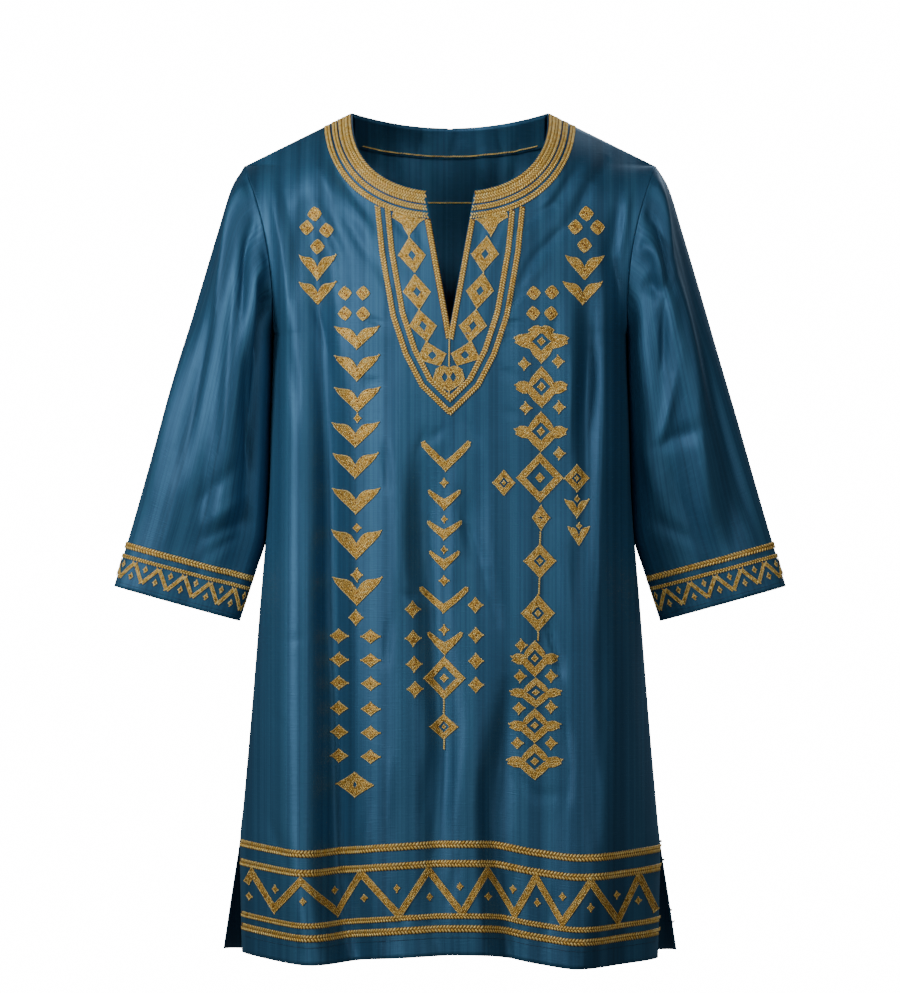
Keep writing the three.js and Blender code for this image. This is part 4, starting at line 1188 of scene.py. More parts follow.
def slubbed_silk(name, shade):
    """Dupioni silk, hand-reeled and plain-woven: warp stripes with sharp edges, thick slubs in the weft and
    a satin sheen. Below 1, `shade` mixes the colour towards near-black: painted shade for the facing inside
    the neck."""
    silk = bpy.context.scene.tunic_silk
    material, tree, shader = new_material(name)
    cut = add_node(tree, "ShaderNodeUVMap", {"uv_map": "cut"}).outputs["UV"]
    # Warp stripes: broad bands, narrow bands and single thick ends, all far longer than they are wide.
    broad = noise(tree, stretched(tree, cut, silk.stripe * 1.9, 1.4), 1.0)
    narrow = noise(tree, stretched(tree, cut, silk.stripe * 0.42, 0.9, 7.3), 1.5)
    ends = noise(tree, stretched(tree, cut, silk.stripe * 0.11, 0.35, 3.1), 1.0)
    bands = ramp(tree, broad, [(0.36, grey(0)), (0.46, grey(54)), (0.52, grey(65)), (0.62, grey(100))])
    lines = ramp(tree, narrow, [(0.42, grey(0)), (0.5, grey(70)), (0.6, grey(100))])
    stripes = summed(tree, (bands, 0.44), (lines, 0.2), (ends, 0.34))
    clouds = noise(tree, stretched(tree, cut, 0.07, 0.11, 1.7), 2.0)
    tint = ramp(tree, stripes, [(0.0, silk.dark), (0.5, silk.middle), (1.0, silk.light)])
    tint = blended(tree, arithmetic(tree, "MULTIPLY", clouds, 0.35), tint, silk.dark)
    # Weft slubs: short thick threads across the stripes.
    slubs = noise(tree, stretched(tree, cut, 0.016, silk.weft * 0.9, 5.5), 1.0)
    slub_mask = ramp(tree, slubs, [(0.62, grey(0)), (0.72, grey(100))])
    tint = blended(tree, arithmetic(tree, "MULTIPLY", slub_mask, 0.12), tint, silk.light)
    # Painted shade: by 1 - shade the colour is mixed towards near-black, for the facing inside the neck.
    tint = blended(tree, 1 - shade, tint, linear("#04101a"))
    tree.links.new(tint, shader.inputs["Base Color"])
    # Relief: weft ribs, warp ends and slubs.
    ribs = noise(tree, stretched(tree, cut, 0.02, silk.weft, 2.2), 1.0)
    relief = summed(tree, (ribs, 0.5), (ends, 0.5), (slub_mask, 0.4))
    wrinkles = noise(tree, stretched(tree, cut, 0.012, 0.03, 9.1), 2.0)
    fine = add_node(tree, "ShaderNodeBump", Height=relief, Strength=0.35, Distance=0.0005)
    soft = add_node(
        tree, "ShaderNodeBump", Height=wrinkles, Strength=0.15, Distance=0.002, Normal=fine.outputs["Normal"]
    )
    tree.links.new(soft.outputs["Normal"], shader.inputs["Normal"])
    rough = add_node(tree, "ShaderNodeMapRange", Value=ends, To_Min=0.5, To_Max=0.62)
    tree.links.new(rough.outputs["Result"], shader.inputs["Roughness"])
    shader.inputs["IOR"].default_value = 1.54
    shader.inputs["Specular Tint"].default_value = linear("#c0d6e6")
    shader.inputs["Metallic"].default_value = 0.4
    shader.inputs["Sheen Weight"].default_value = 0.15
    shader.inputs["Sheen Roughness"].default_value = 0.4
    shader.inputs["Sheen Tint"].default_value = linear("#6fb0d8")
    return material


def gold_thread(name):
    """Metal-wrapped gold thread, twisted: warm, half metallic, bright on the crown of each stitch and brown
    in the gaps between stitches, where the low tones given to the beds and the tapes are painted shade."""
    gold = bpy.context.scene.tunic_gold
    material, tree, shader = new_material(name)
    tone = add_node(tree, "ShaderNodeAttribute", {"attribute_name": "tone"}).outputs["Fac"]
    place = add_node(tree, "ShaderNodeTexCoord").outputs["Object"]
    grain = add_node(tree, "ShaderNodeTexNoise", Vector=place, Scale=1 / 0.0011, Detail=1.0)
    shifted = arithmetic(tree, "SUBTRACT", summed(tree, (tone, 1.0), (grain.outputs["Fac"], 0.24)), 0.12)
    # Low tones give the knots' red and the shaded thread; beds and tapes sit there as painted shade between
    # the stitches.
    tint = ramp(tree, shifted, [(0.0, gold.red), (0.09, gold.shade), (0.42, gold.middle), (0.85, gold.pale)])
    tree.links.new(tint, shader.inputs["Base Color"])
    bump = add_node(tree, "ShaderNodeBump", Height=grain.outputs["Fac"], Strength=0.5, Distance=0.0003)
    tree.links.new(bump.outputs["Normal"], shader.inputs["Normal"])
    shader.inputs["Metallic"].default_value = 0.45
    shader.inputs["Roughness"].default_value = 0.42
    return material


def sewing_thread(name):
    """Spun silk sewing thread in the cloth's colour: matt, a little darker than the cloth."""
    material, tree, shader = new_material(name)
    place = add_node(tree, "ShaderNodeTexCoord").outputs["Object"]
    grain = add_node(tree, "ShaderNodeTexNoise", Vector=place, Scale=1 / 0.002, Detail=1.0)
    tint = ramp(tree, grain.outputs["Fac"], [(0.3, linear("#163450")), (0.7, linear("#2a5674"))])
    tree.links.new(tint, shader.inputs["Base Color"])
    shader.inputs["Roughness"].default_value = 0.6
    return material


def material_of(name, make, *settings):
    """The named material, made the first time it is asked for."""
    return bpy.data.materials.get(name) or make(name, *settings)


def silk():
    return material_of("Dupioni_silk_woven", slubbed_silk, 1.0)


def gold():
    return material_of("Gold_thread_plaited", gold_thread)


# ---- silk pieces ----


# Steps along a panel's inner edge: where the neck ends and the slit or the centre line begins, and the last.
FRONT_NECK_STEPS, BACK_NECK_STEPS, LAST_STEP = 7, 6, 12
COLUMN_EASE = 0.55  # how much closer the columns stand towards the side seam


def front_inner_edge(step):
    """The front's inner edge by step: 0 to 7 round the neck, 7 to 12 down the slit."""
    end = math.acos((SLIT_HALF_WIDTH / NECK_HALF_WIDTH) ** (NECK_SQUARENESS / 2))
    angle = end * np.minimum(step, FRONT_NECK_STEPS) / FRONT_NECK_STEPS
    x = NECK_HALF_WIDTH * np.cos(angle) ** (2 / NECK_SQUARENESS)
    z = -NECK_FRONT_DROP * np.sin(angle) ** (2 / NECK_SQUARENESS)
    t = np.maximum(step - FRONT_NECK_STEPS, 0) / (LAST_STEP - FRONT_NECK_STEPS)
    return np.stack([x * (1 - t), z + (SLIT_BOTTOM - z) * t], -1)


def back_neck_height(x):
    """The z of the back neck's shallow parabola."""
    return -NECK_BACK_DROP * (1 - (x / NECK_HALF_WIDTH) ** 2)


def back_inner_edge(step):
    """The back's inner edge by step: 0 to 6 round the neck, 6 to 12 down the centre line."""
    x = NECK_HALF_WIDTH * np.cos(np.minimum(step, BACK_NECK_STEPS) / BACK_NECK_STEPS * math.pi / 2)
    z = back_neck_height(x)
    t = np.maximum(step - BACK_NECK_STEPS, 0) / (LAST_STEP - BACK_NECK_STEPS)
    return np.stack([x, z + (ARMHOLE_BOTTOM_Z - z) * t], -1)


def half_cut(panel, side, inner_edge, columns, swing_rows, level_rows):
    """Cut places of half a panel: rows that swing from the shoulder seam to level, then level rows."""
    step = np.linspace(0, LAST_STEP, swing_rows)
    inner = inner_edge(step)
    arm_x, arm_z, _ = armhole_line(np.cos(step / LAST_STEP * math.pi), panel.reach)
    share = np.linspace(0, 1, columns + 1)
    share = (1 - COLUMN_EASE) * share + COLUMN_EASE * np.sin(share * math.pi / 2)
    x = inner[:, :1] + (arm_x[:, None] - inner[:, :1]) * share
    z = inner[:, 1:] + (arm_z[:, None] - inner[:, 1:]) * share
    level = np.linspace(ARMHOLE_BOTTOM_Z - 4, HEM, level_rows)
    edge, _, _ = panel.side_edge(level)
    x = np.vstack([x, edge[:, None] * share])
    z = np.vstack([z, np.broadcast_to(level[:, None], (level_rows, columns + 1))])
    return side * x, z


def body_piece(name, panel, inner_edge, mesh_sizes):
    """A panel from its two halves, welded down the middle."""
    points, faces, cuts, count = [], [], [], 0
    for side in (-1, 1):
        x, z = half_cut(panel, side, inner_edge, *mesh_sizes)
        faces.append(grid_faces(*x.shape, flipped=side * panel.sign < 0) + count)
        points.append(panel.points(x, z).reshape(-1, 3))
        cuts.append(np.stack([x, z], -1).reshape(-1, 2))
        count += x.size
    points, faces, cut = welded(np.vstack(points), np.vstack(faces), np.vstack(cuts))
    piece = new_piece(name, points, faces, silk(), [name.removesuffix("_silk")], cut)
    thicken(piece, bpy.context.scene.tunic_silk.thickness)
    return piece


class TUNIC_OT_body(bpy.types.Operator):
    """Cut and hang the front and the back with their folds"""

    bl_idname = "tunic.body"
    bl_label = "Body panels"

    def execute(self, context):
        front = body_piece("front_silk", FRONT_PANEL, front_inner_edge, FRONT_MESH)
        back = body_piece("back_silk", BACK_PANEL, back_inner_edge, BACK_MESH)
        return {"FINISHED"}


class TUNIC_OT_facing(bpy.types.Operator):
    """Line the back neck with its facing"""

    bl_idname = "tunic.facing"
    bl_label = "Back neck facing"

    def execute(self, context):
        x = np.linspace(-FACING_HALF_WIDTH, FACING_HALF_WIDTH, 121)[None, :]
        top = back_neck_height(x) - 0.6
        share = np.linspace(0, 1, 14)[:, None]
        z = top - share * BACK_FACING_DEPTH
        x = np.broadcast_to(x, z.shape)
        gathers = 0.5 * np.sin(x / 4.1 + np.sin(x / 11)) * share
        out = normals(BACK_PANEL.base, BACK_PANEL.outward, x, z)
        points = BACK_PANEL.points(x, z) - out * (FACING_INSET - 0.6 * gathers)[..., None]
        cut = np.stack([x, z], -1).reshape(-1, 2)
        # The facing takes the silk darkened a little towards near-black: painted shade inside the neck.
        facing = material_of("Dupioni_silk_wrong_side", slubbed_silk, 0.98)
        piece = new_piece(
            "back_facing_silk", points.reshape(-1, 3), grid_faces(*z.shape).tolist(), facing,
            ["back_facing"], cut,
        )
        thicken(piece, FACING_THICKNESS)
        return {"FINISHED"}


class TUNIC_OT_sleeves(bpy.types.Operator):
    """Set in the two sleeves"""

    bl_idname = "tunic.sleeves"
    bl_label = "Sleeves"

    def execute(self, context):
        columns, rows = SLEEVE_MESH
        for side, sleeve in SLEEVES.items():
            around = np.linspace(-sleeve.half, sleeve.half, columns + 1)[:-1][None, :]
            down = np.linspace(0, SLEEVE_LENGTH, rows)[:, None]
            u, v = np.broadcast_arrays(around, down)
            points = sleeve.points(u, v).reshape(-1, 3)
            name = f"sleeve_{SIDE_NAMES[side]}"
            faces = grid_faces(*u.shape, flipped=side < 0, closed=True)
            cut = np.stack([u, -v], -1).reshape(-1, 2)
            piece = new_piece(f"{name}_silk", points, faces.tolist(), silk(), [name], cut)
            thicken(piece, context.scene.tunic_silk.thickness)
        return {"FINISHED"}


# ---- braids ----


PAST_SHOULDER = 24  # the neck's lines run on past the shoulder seam, where the braids are cut off


def front_neck_line(side):
    """From the shoulder seam round the front neck, and on past the slit's corner to its edge."""
    line = front_inner_edge(np.linspace(0, FRONT_NECK_STEPS, 19))
    above = line[0] + (0, PAST_SHOULDER)
    beyond = line[-1] + (line[-1] - line[-2]) * 0.9
    return np.vstack([above, line, beyond]) * (side, 1)


def with_mirror(half):
    """An open line from its right half, whose last point is on the middle."""
    half = np.asarray(half, float)
    return np.vstack([half, half[::-1][1:] * (-1, 1)])


def back_neck_line():
    line = with_mirror(back_inner_edge(np.linspace(0, BACK_NECK_STEPS, 13)))
    return np.vstack([line[0] + (0, PAST_SHOULDER), line, line[-1] + (0, PAST_SHOULDER)])


def slit_corner():
    return front_inner_edge(np.array(float(FRONT_NECK_STEPS)))


def slit_edge(z):
    """The x of the slit's edge."""
    corner = slit_corner()
    return np.maximum(corner[0] * (z - SLIT_BOTTOM) / (corner[1] - SLIT_BOTTOM), 0)


def below_shoulder(u, v):
    """Places of a neck braid that are below the shoulder seam."""
    return v < shoulder_line(u) - STRAND_CLEARANCE


def on_front_neck(u, v):
    """Places of a neck braid that are on the front: below the shoulder seam and outside the slit."""
    return below_shoulder(u, v) & (np.abs(u) > slit_edge(v) + SLIT_CLEARANCE)


def shoulder_seam(u):
    """Just below the shoulder seam."""
    return shoulder_line(u) - TAPE_CLEARANCE


def neck_braid(node, chart, side, tape_line, line, tapes, strands, kept):
    """One braid of the neck: tapes and rows of strands at their distances from the neck's edge."""
    braid = Heap()
    for tape in tapes:
        near, far = sorted(side * distance for distance in tape)
        add_tape(braid, chart, tape_line, near, far, TAPE_HEIGHT, TAPE_SHADE_TONE, shoulder_seam)
    for distance, width, pitch, seed in strands:
        add_plait(braid, chart, line, side * distance, width, pitch, kept, seed=seed + side)
    braid.piece(f"{node}_braid", gold(), "gold_braid", [node])


class TUNIC_OT_neck_braids(bpy.types.Operator):
    """Sew the plaited braids round the neck"""

    bl_idname = "tunic.neck_braids"
    bl_label = "Neck braids"

    def execute(self, context):
        for side, name in SIDE_NAMES.items():
            line = front_neck_line(side)
            for kind, (tapes, strands) in FRONT_NECK_BRAIDS.items():
                neck_braid(f"neck_{kind}_{name}", FRONT, side, line[:-1], line, tapes, strands, on_front_neck)
        line = back_neck_line()
        for kind, (tapes, strands) in BACK_NECK_BRAIDS.items():
            neck_braid(f"neck_{kind}_back", BACK, 1, line, line, tapes, strands, below_shoulder)
        return {"FINISHED"}


def below_neck_cord(u, v):
    """Places on the front that clear the neck's outer braid by more than its width."""
    line = np.vstack([front_neck_line(1)[1:-1], front_neck_line(-1)[1:-1][::-1]])
    distance, _, _ = nearest_edge([line], np.atleast_1d(u), np.atleast_1d(v))
    return distance > BELOW_CORD


class TUNIC_OT_chest_braids(bpy.types.Operator):
    """Sew the braids of the slit and the bib"""

    bl_idname = "tunic.chest_braids"
    bl_label = "Slit and bib braids"

    def execute(self, context):
        slit = Heap()
        top = slit_corner()[1] - SLIT_CHAIN_START
        upper, corner = (slit_edge(top) + SLIT_CHAIN_INSET, top), (SLIT_CHAIN_INSET, SLIT_BOTTOM + 1)
        for side in (-1, 1):
            line = np.array([upper, corner, SLIT_CHAIN_END]) * (side, 1)
            near, far = -side * CHAIN_HALF_WIDTH, side * CHAIN_HALF_WIDTH
            add_tape(slit, FRONT, line, near, far, TAPE_HEIGHT, TAPE_SHADE_TONE)
            add_plait(slit, FRONT, line, 0, SLIT_CHAIN_WIDTH, CHAIN_PITCH, seed=30 + side)
        slit.piece("slit_chain", gold(), "gold_braid", ["slit_braid"])
        for name, (inset, seed) in BIB_BRAIDS.items():
            braid = Heap()
            line = beside(with_mirror(BIB_HALF), -inset)
            first = line[:1] + (line[1:2] - line[:1]) * np.linspace(0, 1, 25)[:, None]
            first = first[below_neck_cord(first[:, 0], first[:, 1])][:1]
            line = np.vstack([first, line[1:-1], first * (-1, 1)])
            add_tape(braid, FRONT, line, -CHAIN_HALF_WIDTH, CHAIN_HALF_WIDTH, TAPE_HEIGHT, TAPE_SHADE_TONE)
            add_plait(braid, FRONT, line, 0, BIB_CHAIN_WIDTH, CHAIN_PITCH, below_neck_cord, seed=seed)
            braid.piece(f"bib_{name}_chain", gold(), "gold_braid", [f"bib_braid_{name}"])
        return {"FINISHED"}


class TUNIC_OT_hem_braids(bpy.types.Operator):
    """Sew the four braids along the hem of the front and the back"""

    bl_idname = "tunic.hem_braids"
    bl_label = "Hem braids"

    def execute(self, context):
        for panel_name, panel, chart in (("front", FRONT_PANEL, FRONT), ("back", BACK_PANEL, BACK)):
            for number, (top, bottom, pitch) in enumerate(HEM_BRAIDS, start=1):
                middle, width = (top + bottom) / 2, top - bottom
                edge, _, _ = panel.side_edge(np.array(middle))
                x = np.sin(np.linspace(-math.pi / 2, math.pi / 2, 61)) * (edge - HEM_END_GAP)
                line = np.stack([x, np.full(x.shape, middle)], -1)
                braid = Heap()
                half = width / 2 - TAPE_MARGIN
                add_tape(braid, chart, line, -half, half, HEM_TAPE_HEIGHT, TAPE_SHADE_TONE)
                add_plait(braid, chart, line, 0, width, pitch, seed=40 + number)
                node = f"hem_braid_{panel_name}_{number}"
                braid.piece(f"{node}_plait", gold(), "gold_braid", [node])
        return {"FINISHED"}


def cuff_line(sleeve, above_edge):
    """A line round the cuff, at a height above its edge."""
    u = np.linspace(-sleeve.half, sleeve.half, 91)
    return np.stack([u, np.full(u.shape, SLEEVE_LENGTH - above_edge)], -1)


class TUNIC_OT_cuff_braids(bpy.types.Operator):
    """Sew the two braids round each cuff"""

    bl_idname = "tunic.cuff_braids"
    bl_label = "Cuff braids"

    def execute(self, context):
        for side, sleeve in SLEEVES.items():
            for kind, (top, bottom, pitch) in CUFF_BRAIDS.items():
                braid = Heap()
                width = top - bottom
                line = cuff_line(sleeve, (top + bottom) / 2)
                chart = SLEEVE_CHARTS[side]
                half = width / 2 - TAPE_MARGIN
                add_tape(braid, chart, line, -half, half, TAPE_HEIGHT, TAPE_SHADE_TONE)
                add_plait(braid, chart, line, 0, width, pitch, seed=50 + side)
                node = f"cuff_braid_{kind}_{SIDE_NAMES[side]}"
                braid.piece(f"{node}_plait", gold(), "gold_braid", [node])
        return {"FINISHED"}


# ---- embroidery ----


def knots_of(x, z, spread=2.2):
    """Places of the small knots in the middle of a motif."""
    return [(x, z), (x - spread, z + 0.6 * spread), (x + 0.7 * spread, z - spread)]


def add_front(heap, x, z, loops, seed, knots=()):
    """A motif on the front: loops round its own middle, placed on the hung garment."""
    add_motif(heap, FRONT, [hung(moved(loop, x, z)) for loop in loops], seed, knots=knots)


def add_rings(heap, motifs, first_seed):
    """Motifs of diamonds one inside the other."""
    for seed, (x, z, sizes) in enumerate(motifs, first_seed):
        add_front(heap, x, z, [diamond(*size) for size in sizes], seed)


def add_links(heap, links, pitch, width, first_seed):
    """Short twisted threads that hang one motif from the next."""
    for seed, (x, z, end_x, end_z) in enumerate(links, first_seed):
        add_thread(heap, FRONT, hung(np.array([(x, z), (end_x, end_z)], float)), pitch, width, seed=seed)


class TUNIC_OT_shoulder_motifs(bpy.types.Operator):
    """Embroider the clusters of spots and birds below the shoulders"""

    bl_idname = "tunic.shoulder_motifs"
    bl_label = "Shoulder motifs"

    def execute(self, context):
        heap = Heap()
        for i, (x, z) in enumerate(SHOULDER_SPOTS):
            size = UPPER_SPOT if i < UPPER_SPOTS else LOWER_SPOT
            add_front(heap, x, z, [diamond(size, size + 0.6, 1.3, 4 * (-1) ** i)], 100 + i, knots_of(x, z))
        for i, (x, z, width, height) in enumerate(SHOULDER_BIRDS):
            add_front(heap, x, z, [bird(width, height)], 120 + i, knots_of(x, z - 0.6 * height, 4))
        heap.piece("shoulder_motifs", gold(), "gold_braid")
        return {"FINISHED"}


class TUNIC_OT_column_motifs(bpy.types.Operator):
    """Embroider the three columns of motifs down the front"""

    bl_idname = "tunic.column_motifs"
    bl_label = "Columns of motifs"

    def execute(self, context):
        self.birds()
        self.centre()
        self.medallions()
        return {"FINISHED"}

    def birds(self):
        heap = Heap()
        for i, (x, z, width, height) in enumerate(COLUMN_BIRDS):
            add_front(heap, x, z, [bird(width, height)], 140 + i, knots_of(x, z - 0.55 * height, 5))
        for i, (x, z, width, height) in enumerate(COLUMN_SPOTS):
            add_front(heap, x, z, [diamond(width, height, 0.85)], 160 + i)
        pairs = [(x, z) for z in PAIR_LEVELS for x in PAIR_X]
        for i, (x, z) in enumerate(pairs):
            add_front(heap, x, z, [diamond(*PAIR_SPOT)], 170 + i, [(x, cut_height(x, z))])
        add_rings(heap, COLUMN_END, 190)
        heap.piece("bird_column", gold(), "gold_braid")

    def centre(self):
        heap = Heap()
        for i, (x, z, width, height) in enumerate(CENTRE_CHEVRONS):
            notch = THIN_ARM_NOTCH if width > WIDE_CHEVRON else THICK_ARM_NOTCH
            add_front(heap, x, z, [chevron(width, height, notch)], 200 + i)
        for i, (x, z, width, height) in enumerate(CENTRE_SPOTS):
            add_front(heap, x, z, [diamond(width, height, 0.8)], 210 + i)
        for i, (x, z) in enumerate(CENTRE_SIDE_SPOTS):
            add_front(heap, x, z, [diamond(*SIDE_SPOT)], 220 + i, [(x, cut_height(x, z))])
        add_rings(heap, CENTRE_RINGS, 230)
        add_links(heap, CENTRE_LINKS, 2.2, 1.8, 0)
        heap.piece("centre_column", gold(), "gold_braid")

    def medallions(self):
        heap = Heap()
        for i, (x, z, width, height) in enumerate(MEDALLIONS):
            outline, depth = (medallion, MEDALLION_MIDDLE) if i else (crowned_medallion, CROWNED_MIDDLE)
            middle = z - depth * height
            loops = [
                moved(outline(width, height), x, z),
                moved(diamond(0.34 * width, 0.46 * height, 0.95), x, middle),
                moved(diamond(0.16 * width, 0.22 * height, 1.1), x, middle),
            ]
            add_motif(heap, FRONT, [hung(loop) for loop in loops], 240 + i)
        for i, (x, z) in enumerate(MEDALLION_SPOTS):
            add_front(heap, x, z, [diamond(*MEDALLION_SPOT)], 250 + i)
        for i, (x, z, width, height) in enumerate(RING_DIAMONDS):
            sizes = (width, height, 0.96), (0.36 * width, 0.36 * height), (0.2 * width, 0.2 * height, 1.1)
            add_front(heap, x, z, [diamond(*size) for size in sizes], 264 + i)
        add_rings(heap, MEDALLION_RINGS, 270)
        for i, (x, z, width, height) in enumerate(SMALL_BIRDS):
            add_front(heap, x, z, [bird(width, height)], 272 + i)
            add_front(heap, x, z, [diamond(7, 8, 0.9)], 274 + i)
        add_links(heap, MEDALLION_LINKS, 2.2, 1.8, 0)
        heap.piece("medallion_column", gold(), "gold_braid")


class TUNIC_OT_bib_motifs(bpy.types.Operator):
    """Embroider the diamonds inside the bib"""

    bl_idname = "tunic.bib_motifs"
    bl_label = "Bib motifs"

    def execute(self, context):
        heap = Heap()
        for i, (x, z, height, lean) in enumerate(BIB_DIAMONDS):
            loops = [diamond(28, height), diamond(7, 9.5)]
            add_front(heap, x, z, [loop - loop[:, 1:] * (lean, 0) for loop in loops], 300 + i)
        for i, (x, z) in enumerate(BIB_TURNED):
            corners = np.array(TURNED_CORNERS) * (-1 if i else 1, 1)
            add_front(heap, x, z, [corners, diamond(7.5, 7.5, 1.2)], 310 + i)
        x, z = BIB_POINT
        loops = [moved(mirror_loop(BIB_POINT_HALF), x, z)]
        loops += [moved(diamond(5.2, 8.5, 1.2), x + shift, z + 1) for shift in (-4.2, 4.2)]
        add_motif(heap, FRONT, loops, 320)
        x, z = TREFOIL
        for i, side in enumerate((-1, 1)):
            add_front(heap, side * x, z, [trefoil(side)], 322 + i)
        add_links(heap, BIB_LINKS, 2.0, 1.5, 1)
        heap.piece("bib_motifs", gold(), "gold_braid")
        return {"FINISHED"}


class TUNIC_OT_border_motifs(bpy.types.Operator):
    """Embroider the zigzags along the hems and round the cuffs"""

    bl_idname = "tunic.border_motifs"
    bl_label = "Border zigzags"

    def execute(self, context):
        self.hem("front", FRONT, hung(np.array(ZIGZAG_FRONT, float)), 335, 2)
        x = np.linspace(-BACK_REACH, BACK_REACH, BACK_TURNS)
        z = np.where(np.arange(BACK_TURNS) % 2 == 0, *BACK_TURN_LEVELS)
        self.hem("back", BACK, np.stack([x, z], -1), 334, 1)
        for side, sleeve in SLEEVES.items():
            self.cuff(side, sleeve)
        return {"FINISHED"}

    def hem(self, name, chart, line, seed, first):
        """A zigzag with a spot in each of its turns from the first one that is given."""
        heap = Heap()
        add_motif(heap, chart, [band_loop(line, ZIGZAG_BAND)], seed)
        if name == "front":
            add_motif(heap, chart, [moved(diamond(*ZIGZAG_SPOT), *ZIGZAG_EDGE_SPOT)], 340)
        for i in range(first, len(line) - 1):
            before, turn, after = line[i - 1 : i + 2]
            x = (turn[0] + (before[0] + after[0]) / 2) / 2
            z = turn[1] + ((before[1] + after[1]) / 2 - turn[1]) * SPOT_DEPTH
            add_motif(heap, chart, [moved(diamond(*ZIGZAG_SPOT), x, z)], 340 + i)
        heap.piece(f"hem_zigzag_{name}", gold(), "gold_braid")

    def cuff(self, side, sleeve):
        """A zigzag round the cuff, leg by leg, with a spot above or below each turn."""
        heap = Heap()
        chart = SLEEVE_CHARTS[side]
        high = np.arange(2 * CUFF_UNITS + 1) % 2 == 0
        u = np.linspace(-sleeve.half, sleeve.half, len(high))
        line = np.stack([u, SLEEVE_LENGTH - np.where(high, *CUFF_TURNS)], -1)
        for i in range(2 * CUFF_UNITS):
            leg = band_loop(line[i : i + 2], CUFF_BAND)
            add_motif(heap, chart, [leg], 360 + i, pitch=CUFF_STITCH_PITCH)
            spot = (line[i, 0], SLEEVE_LENGTH - CUFF_SPOT_HEIGHTS[0 if high[i] else 1])
            add_motif(heap, chart, [moved(diamond(*CUFF_SPOT), *spot)], 400 + i, knots=[spot])
        heap.piece(f"cuff_zigzag_{SIDE_NAMES[side]}", gold(), "gold_braid")


class TUNIC_OT_stitches(bpy.types.Operator):
    """Sew the twisted gold lines inside the neck and the stitches of the hems and cuffs"""

    bl_idname = "tunic.stitches"
    bl_label = "Stitch lines"

    def execute(self, context):
        inner = Chart(Inside(BACK_PANEL, INSIDE_DEPTH), *INSIDE_CHART)
        heap = Heap()
        for half, middle_z, rise, width, lift, seed in INSIDE_STITCHES:
            x = np.linspace(-half, half, 41)
            line = np.stack([x, middle_z + rise * (x / half) ** 2], -1)
            add_thread(heap, inner, line, 2.2, width, lift, seed=seed)
        heap.piece("neck_twisted_stitches", gold(), "gold_braid")
        thread = material_of("Silk_sewing_thread_spun", sewing_thread)
        heap = Heap()
        for panel, chart in ((FRONT_PANEL, FRONT), (BACK_PANEL, BACK)):
            edge, _, _ = panel.side_edge(np.array(HEM_STITCH_Z - 0.5))
            x = np.linspace(-edge + 4, edge - 4, 41)
            line = np.stack([x, np.full(x.shape, HEM_STITCH_Z)], -1)
            add_thread(heap, chart, line, HEM_STITCH_PITCH, 0.55, 0.15, slant=0, seed=5)
        for side, sleeve in SLEEVES.items():
            line = cuff_line(sleeve, CUFF_STITCH_HEIGHT)
            add_thread(heap, SLEEVE_CHARTS[side], line, HEM_STITCH_PITCH, 0.5, 0.15, slant=0, seed=6)
        heap.piece("hem_stitches", thread, "silk")
        return {"FINISHED"}


# ---- stage ----


def add_light(name, place, target, size, share, spread):
    """A round soft box at a place, turned to a target, whose grid lets its light out in a cone."""
    light = bpy.data.lights.new(name, "AREA")
    light.shape = "DISK"
    light.size = size
    light.energy = bpy.context.scene.tunic_stage.key * share
    light.spread = math.radians(spread)
    lamp = bpy.data.objects.new(name, light)
    lamp.location = place
    lamp.rotation_euler = (Vector(target) - Vector(place)).to_track_quat("-Z", "Y").to_euler()
    bpy.context.scene.collection.objects.link(lamp)
    return lamp


# Lights (metres): name, place, target, size, share of the key's power, spread in degrees.
LIGHTS = [
    ("Key", (-1.3, -1.12, 0.05), (-0.02, 0, -0.43), 0.5, 1.0, 88),
    ("Fill", (1.1, -2.2, 0.15), (0, 0, -0.38), 0.9, 0.4, 60),
    ("Neck", (-0.6, -1.5, 0.75), (0.02, 0.05, -0.06), 0.3, 0.09, 34),
    ("Back", (0.9, 1.8, 0.9), (0, 0, -0.35), 1.4, 4.5, 180),
]
FLOOR_LIGHT = ("Floor light", (0, 0, 2.2), (0, 0, -1), 3.0, 80, 180)
SURROUND_LIGHT, SURROUND_SEEN = 0.07, 16.0  # strength of the surround as light and as the camera sees it
FLOOR_X, FLOOR_FRONT, FLOOR_BACK = 3, -3, 1.6
SENSOR_WIDTH = 36


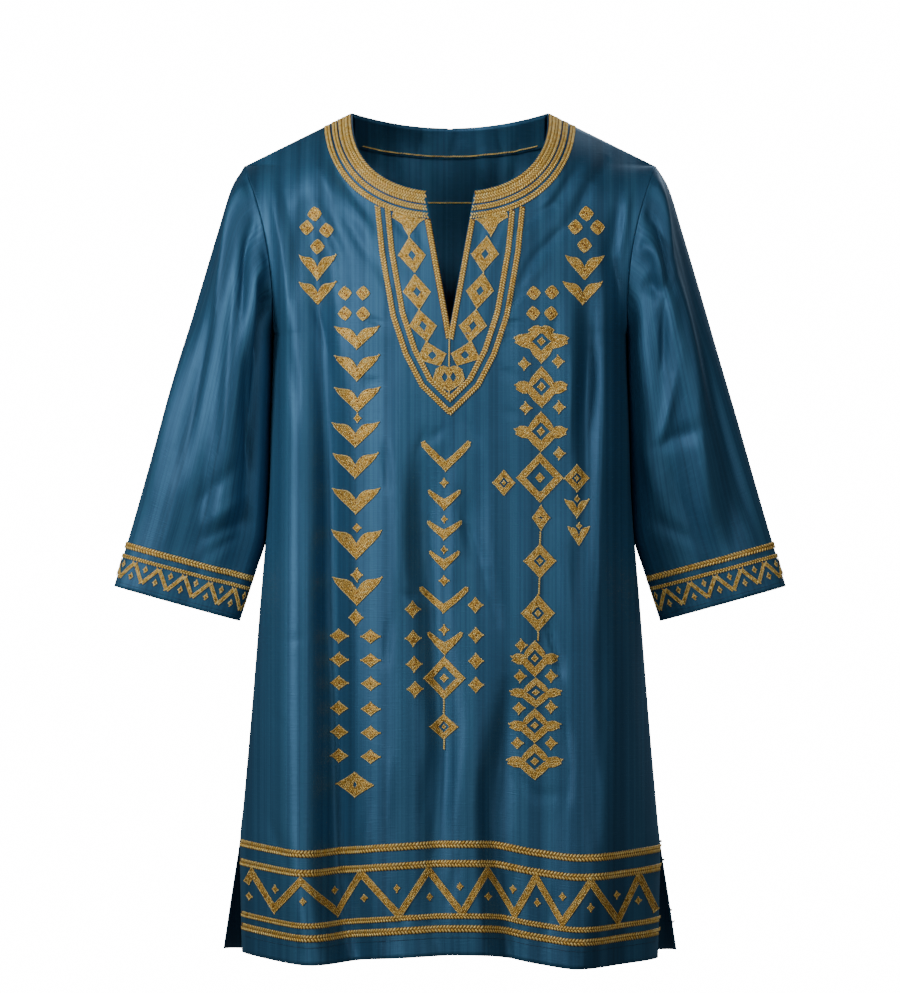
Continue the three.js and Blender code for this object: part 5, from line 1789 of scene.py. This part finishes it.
class TUNIC_OT_stage(bpy.types.Operator):
    """Set the camera, the studio light and the pale floor"""

    bl_idname = "tunic.stage"
    bl_label = "Stage"

    def execute(self, context):
        stage = context.scene.tunic_stage
        camera = bpy.data.cameras.new("Camera")
        camera.sensor_fit = "HORIZONTAL"
        camera.sensor_width = SENSOR_WIDTH
        camera.lens = camera.sensor_width * stage.distance / stage.view_width
        camera.clip_end = 60
        eye = bpy.data.objects.new("Camera", camera)
        eye.location = (0, -stage.distance, stage.aim)
        eye.rotation_euler = (math.radians(90), 0, 0)
        context.scene.collection.objects.link(eye)
        context.scene.camera = eye
        for light in LIGHTS:
            add_light(*light)
        self.world(context)
        self.floor(stage)
        return {"FINISHED"}

    def world(self, context):
        """White studio surround: the camera sees it white, and it lights the tunic more softly than that."""
        world = bpy.data.worlds.new("Studio")
        world.use_nodes = True
        tree = world.node_tree
        tree.nodes.clear()
        seen = add_node(tree, "ShaderNodeLightPath").outputs["Is Camera Ray"]
        limits = {"To_Min": SURROUND_LIGHT, "To_Max": SURROUND_SEEN}
        strength = add_node(tree, "ShaderNodeMapRange", Value=seen, **limits).outputs["Result"]
        white = add_node(tree, "ShaderNodeBackground", Color=linear("#ffffff"), Strength=strength)
        add_node(tree, "ShaderNodeOutputWorld", Surface=white.outputs["Background"])
        context.scene.world = world

    def floor(self, stage):
        """A plain floor below the hem, which the main view looks over."""
        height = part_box("front")[0].z - stage.gap
        x, front, back = FLOOR_X, FLOOR_FRONT, FLOOR_BACK
        outline = [(-x, front), (x, front), (x, back), (-x, back)]
        corners = [(x, y, height) for x, y in outline]
        mesh = bpy.data.meshes.new("floor")
        mesh.from_pydata(corners, [], [(0, 1, 2, 3)])
        material, tree, shader = new_material("Painted_board_matt")
        place = add_node(tree, "ShaderNodeTexCoord").outputs["Object"]
        grain = add_node(tree, "ShaderNodeTexNoise", Vector=place, Scale=3.0)
        tint = blended(tree, grain.outputs["Fac"], stage.floor, linear("#f4f3f1"))
        tree.links.new(tint, shader.inputs["Base Color"])
        shader.inputs["Roughness"].default_value = 0.8
        mesh.materials.append(material)
        board = bpy.data.objects.new("floor", mesh)
        bpy.context.scene.collection.objects.link(board)
        # The floor has a light of its own, and neither it nor the light brightens the tunic.
        board.visible_diffuse = board.visible_glossy = False
        lit = bpy.data.collections.new("Lit floor")
        lit.objects.link(board)
        add_light(*FLOOR_LIGHT).light_linking.receiver_collection = lit


# ---- add-on ----


OPERATORS = (
    TUNIC_OT_stage, TUNIC_OT_body, TUNIC_OT_facing, TUNIC_OT_sleeves, TUNIC_OT_neck_braids,
    TUNIC_OT_chest_braids, TUNIC_OT_hem_braids, TUNIC_OT_cuff_braids, TUNIC_OT_shoulder_motifs,
    TUNIC_OT_column_motifs, TUNIC_OT_bib_motifs, TUNIC_OT_border_motifs, TUNIC_OT_stitches,
)


class TUNIC_PT_panel(bpy.types.Panel):
    """Sizes, colours and building steps of the tunic"""

    bl_label = "Embroidered tunic"
    bl_space_type = "VIEW_3D"
    bl_region_type = "UI"
    bl_category = "Tunic"

    def draw(self, context):
        column = self.layout.column()
        for group in (context.scene.tunic_silk, context.scene.tunic_gold, context.scene.tunic_stage):
            for name in group.__annotations__:
                column.prop(group, name)
        for operator in OPERATORS:
            column.operator(operator.bl_idname)


GROUPS = {"tunic_silk": TunicSilk, "tunic_gold": TunicGold, "tunic_stage": TunicStage}


def register():
    for name, group in GROUPS.items():
        bpy.utils.register_class(group)
        setattr(bpy.types.Scene, name, bpy.props.PointerProperty(type=group))
    for cls in (*OPERATORS, TUNIC_PT_panel):
        bpy.utils.register_class(cls)


def unregister():
    for cls in reversed((*OPERATORS, TUNIC_PT_panel)):
        bpy.utils.unregister_class(cls)
    for name, group in GROUPS.items():
        delattr(bpy.types.Scene, name)
        bpy.utils.unregister_class(group)


def main():
    register()
    for operator in OPERATORS:
        namespace, name = operator.bl_idname.split(".")
        getattr(getattr(bpy.ops, namespace), name)()


if __name__ == "__main__":
    main()
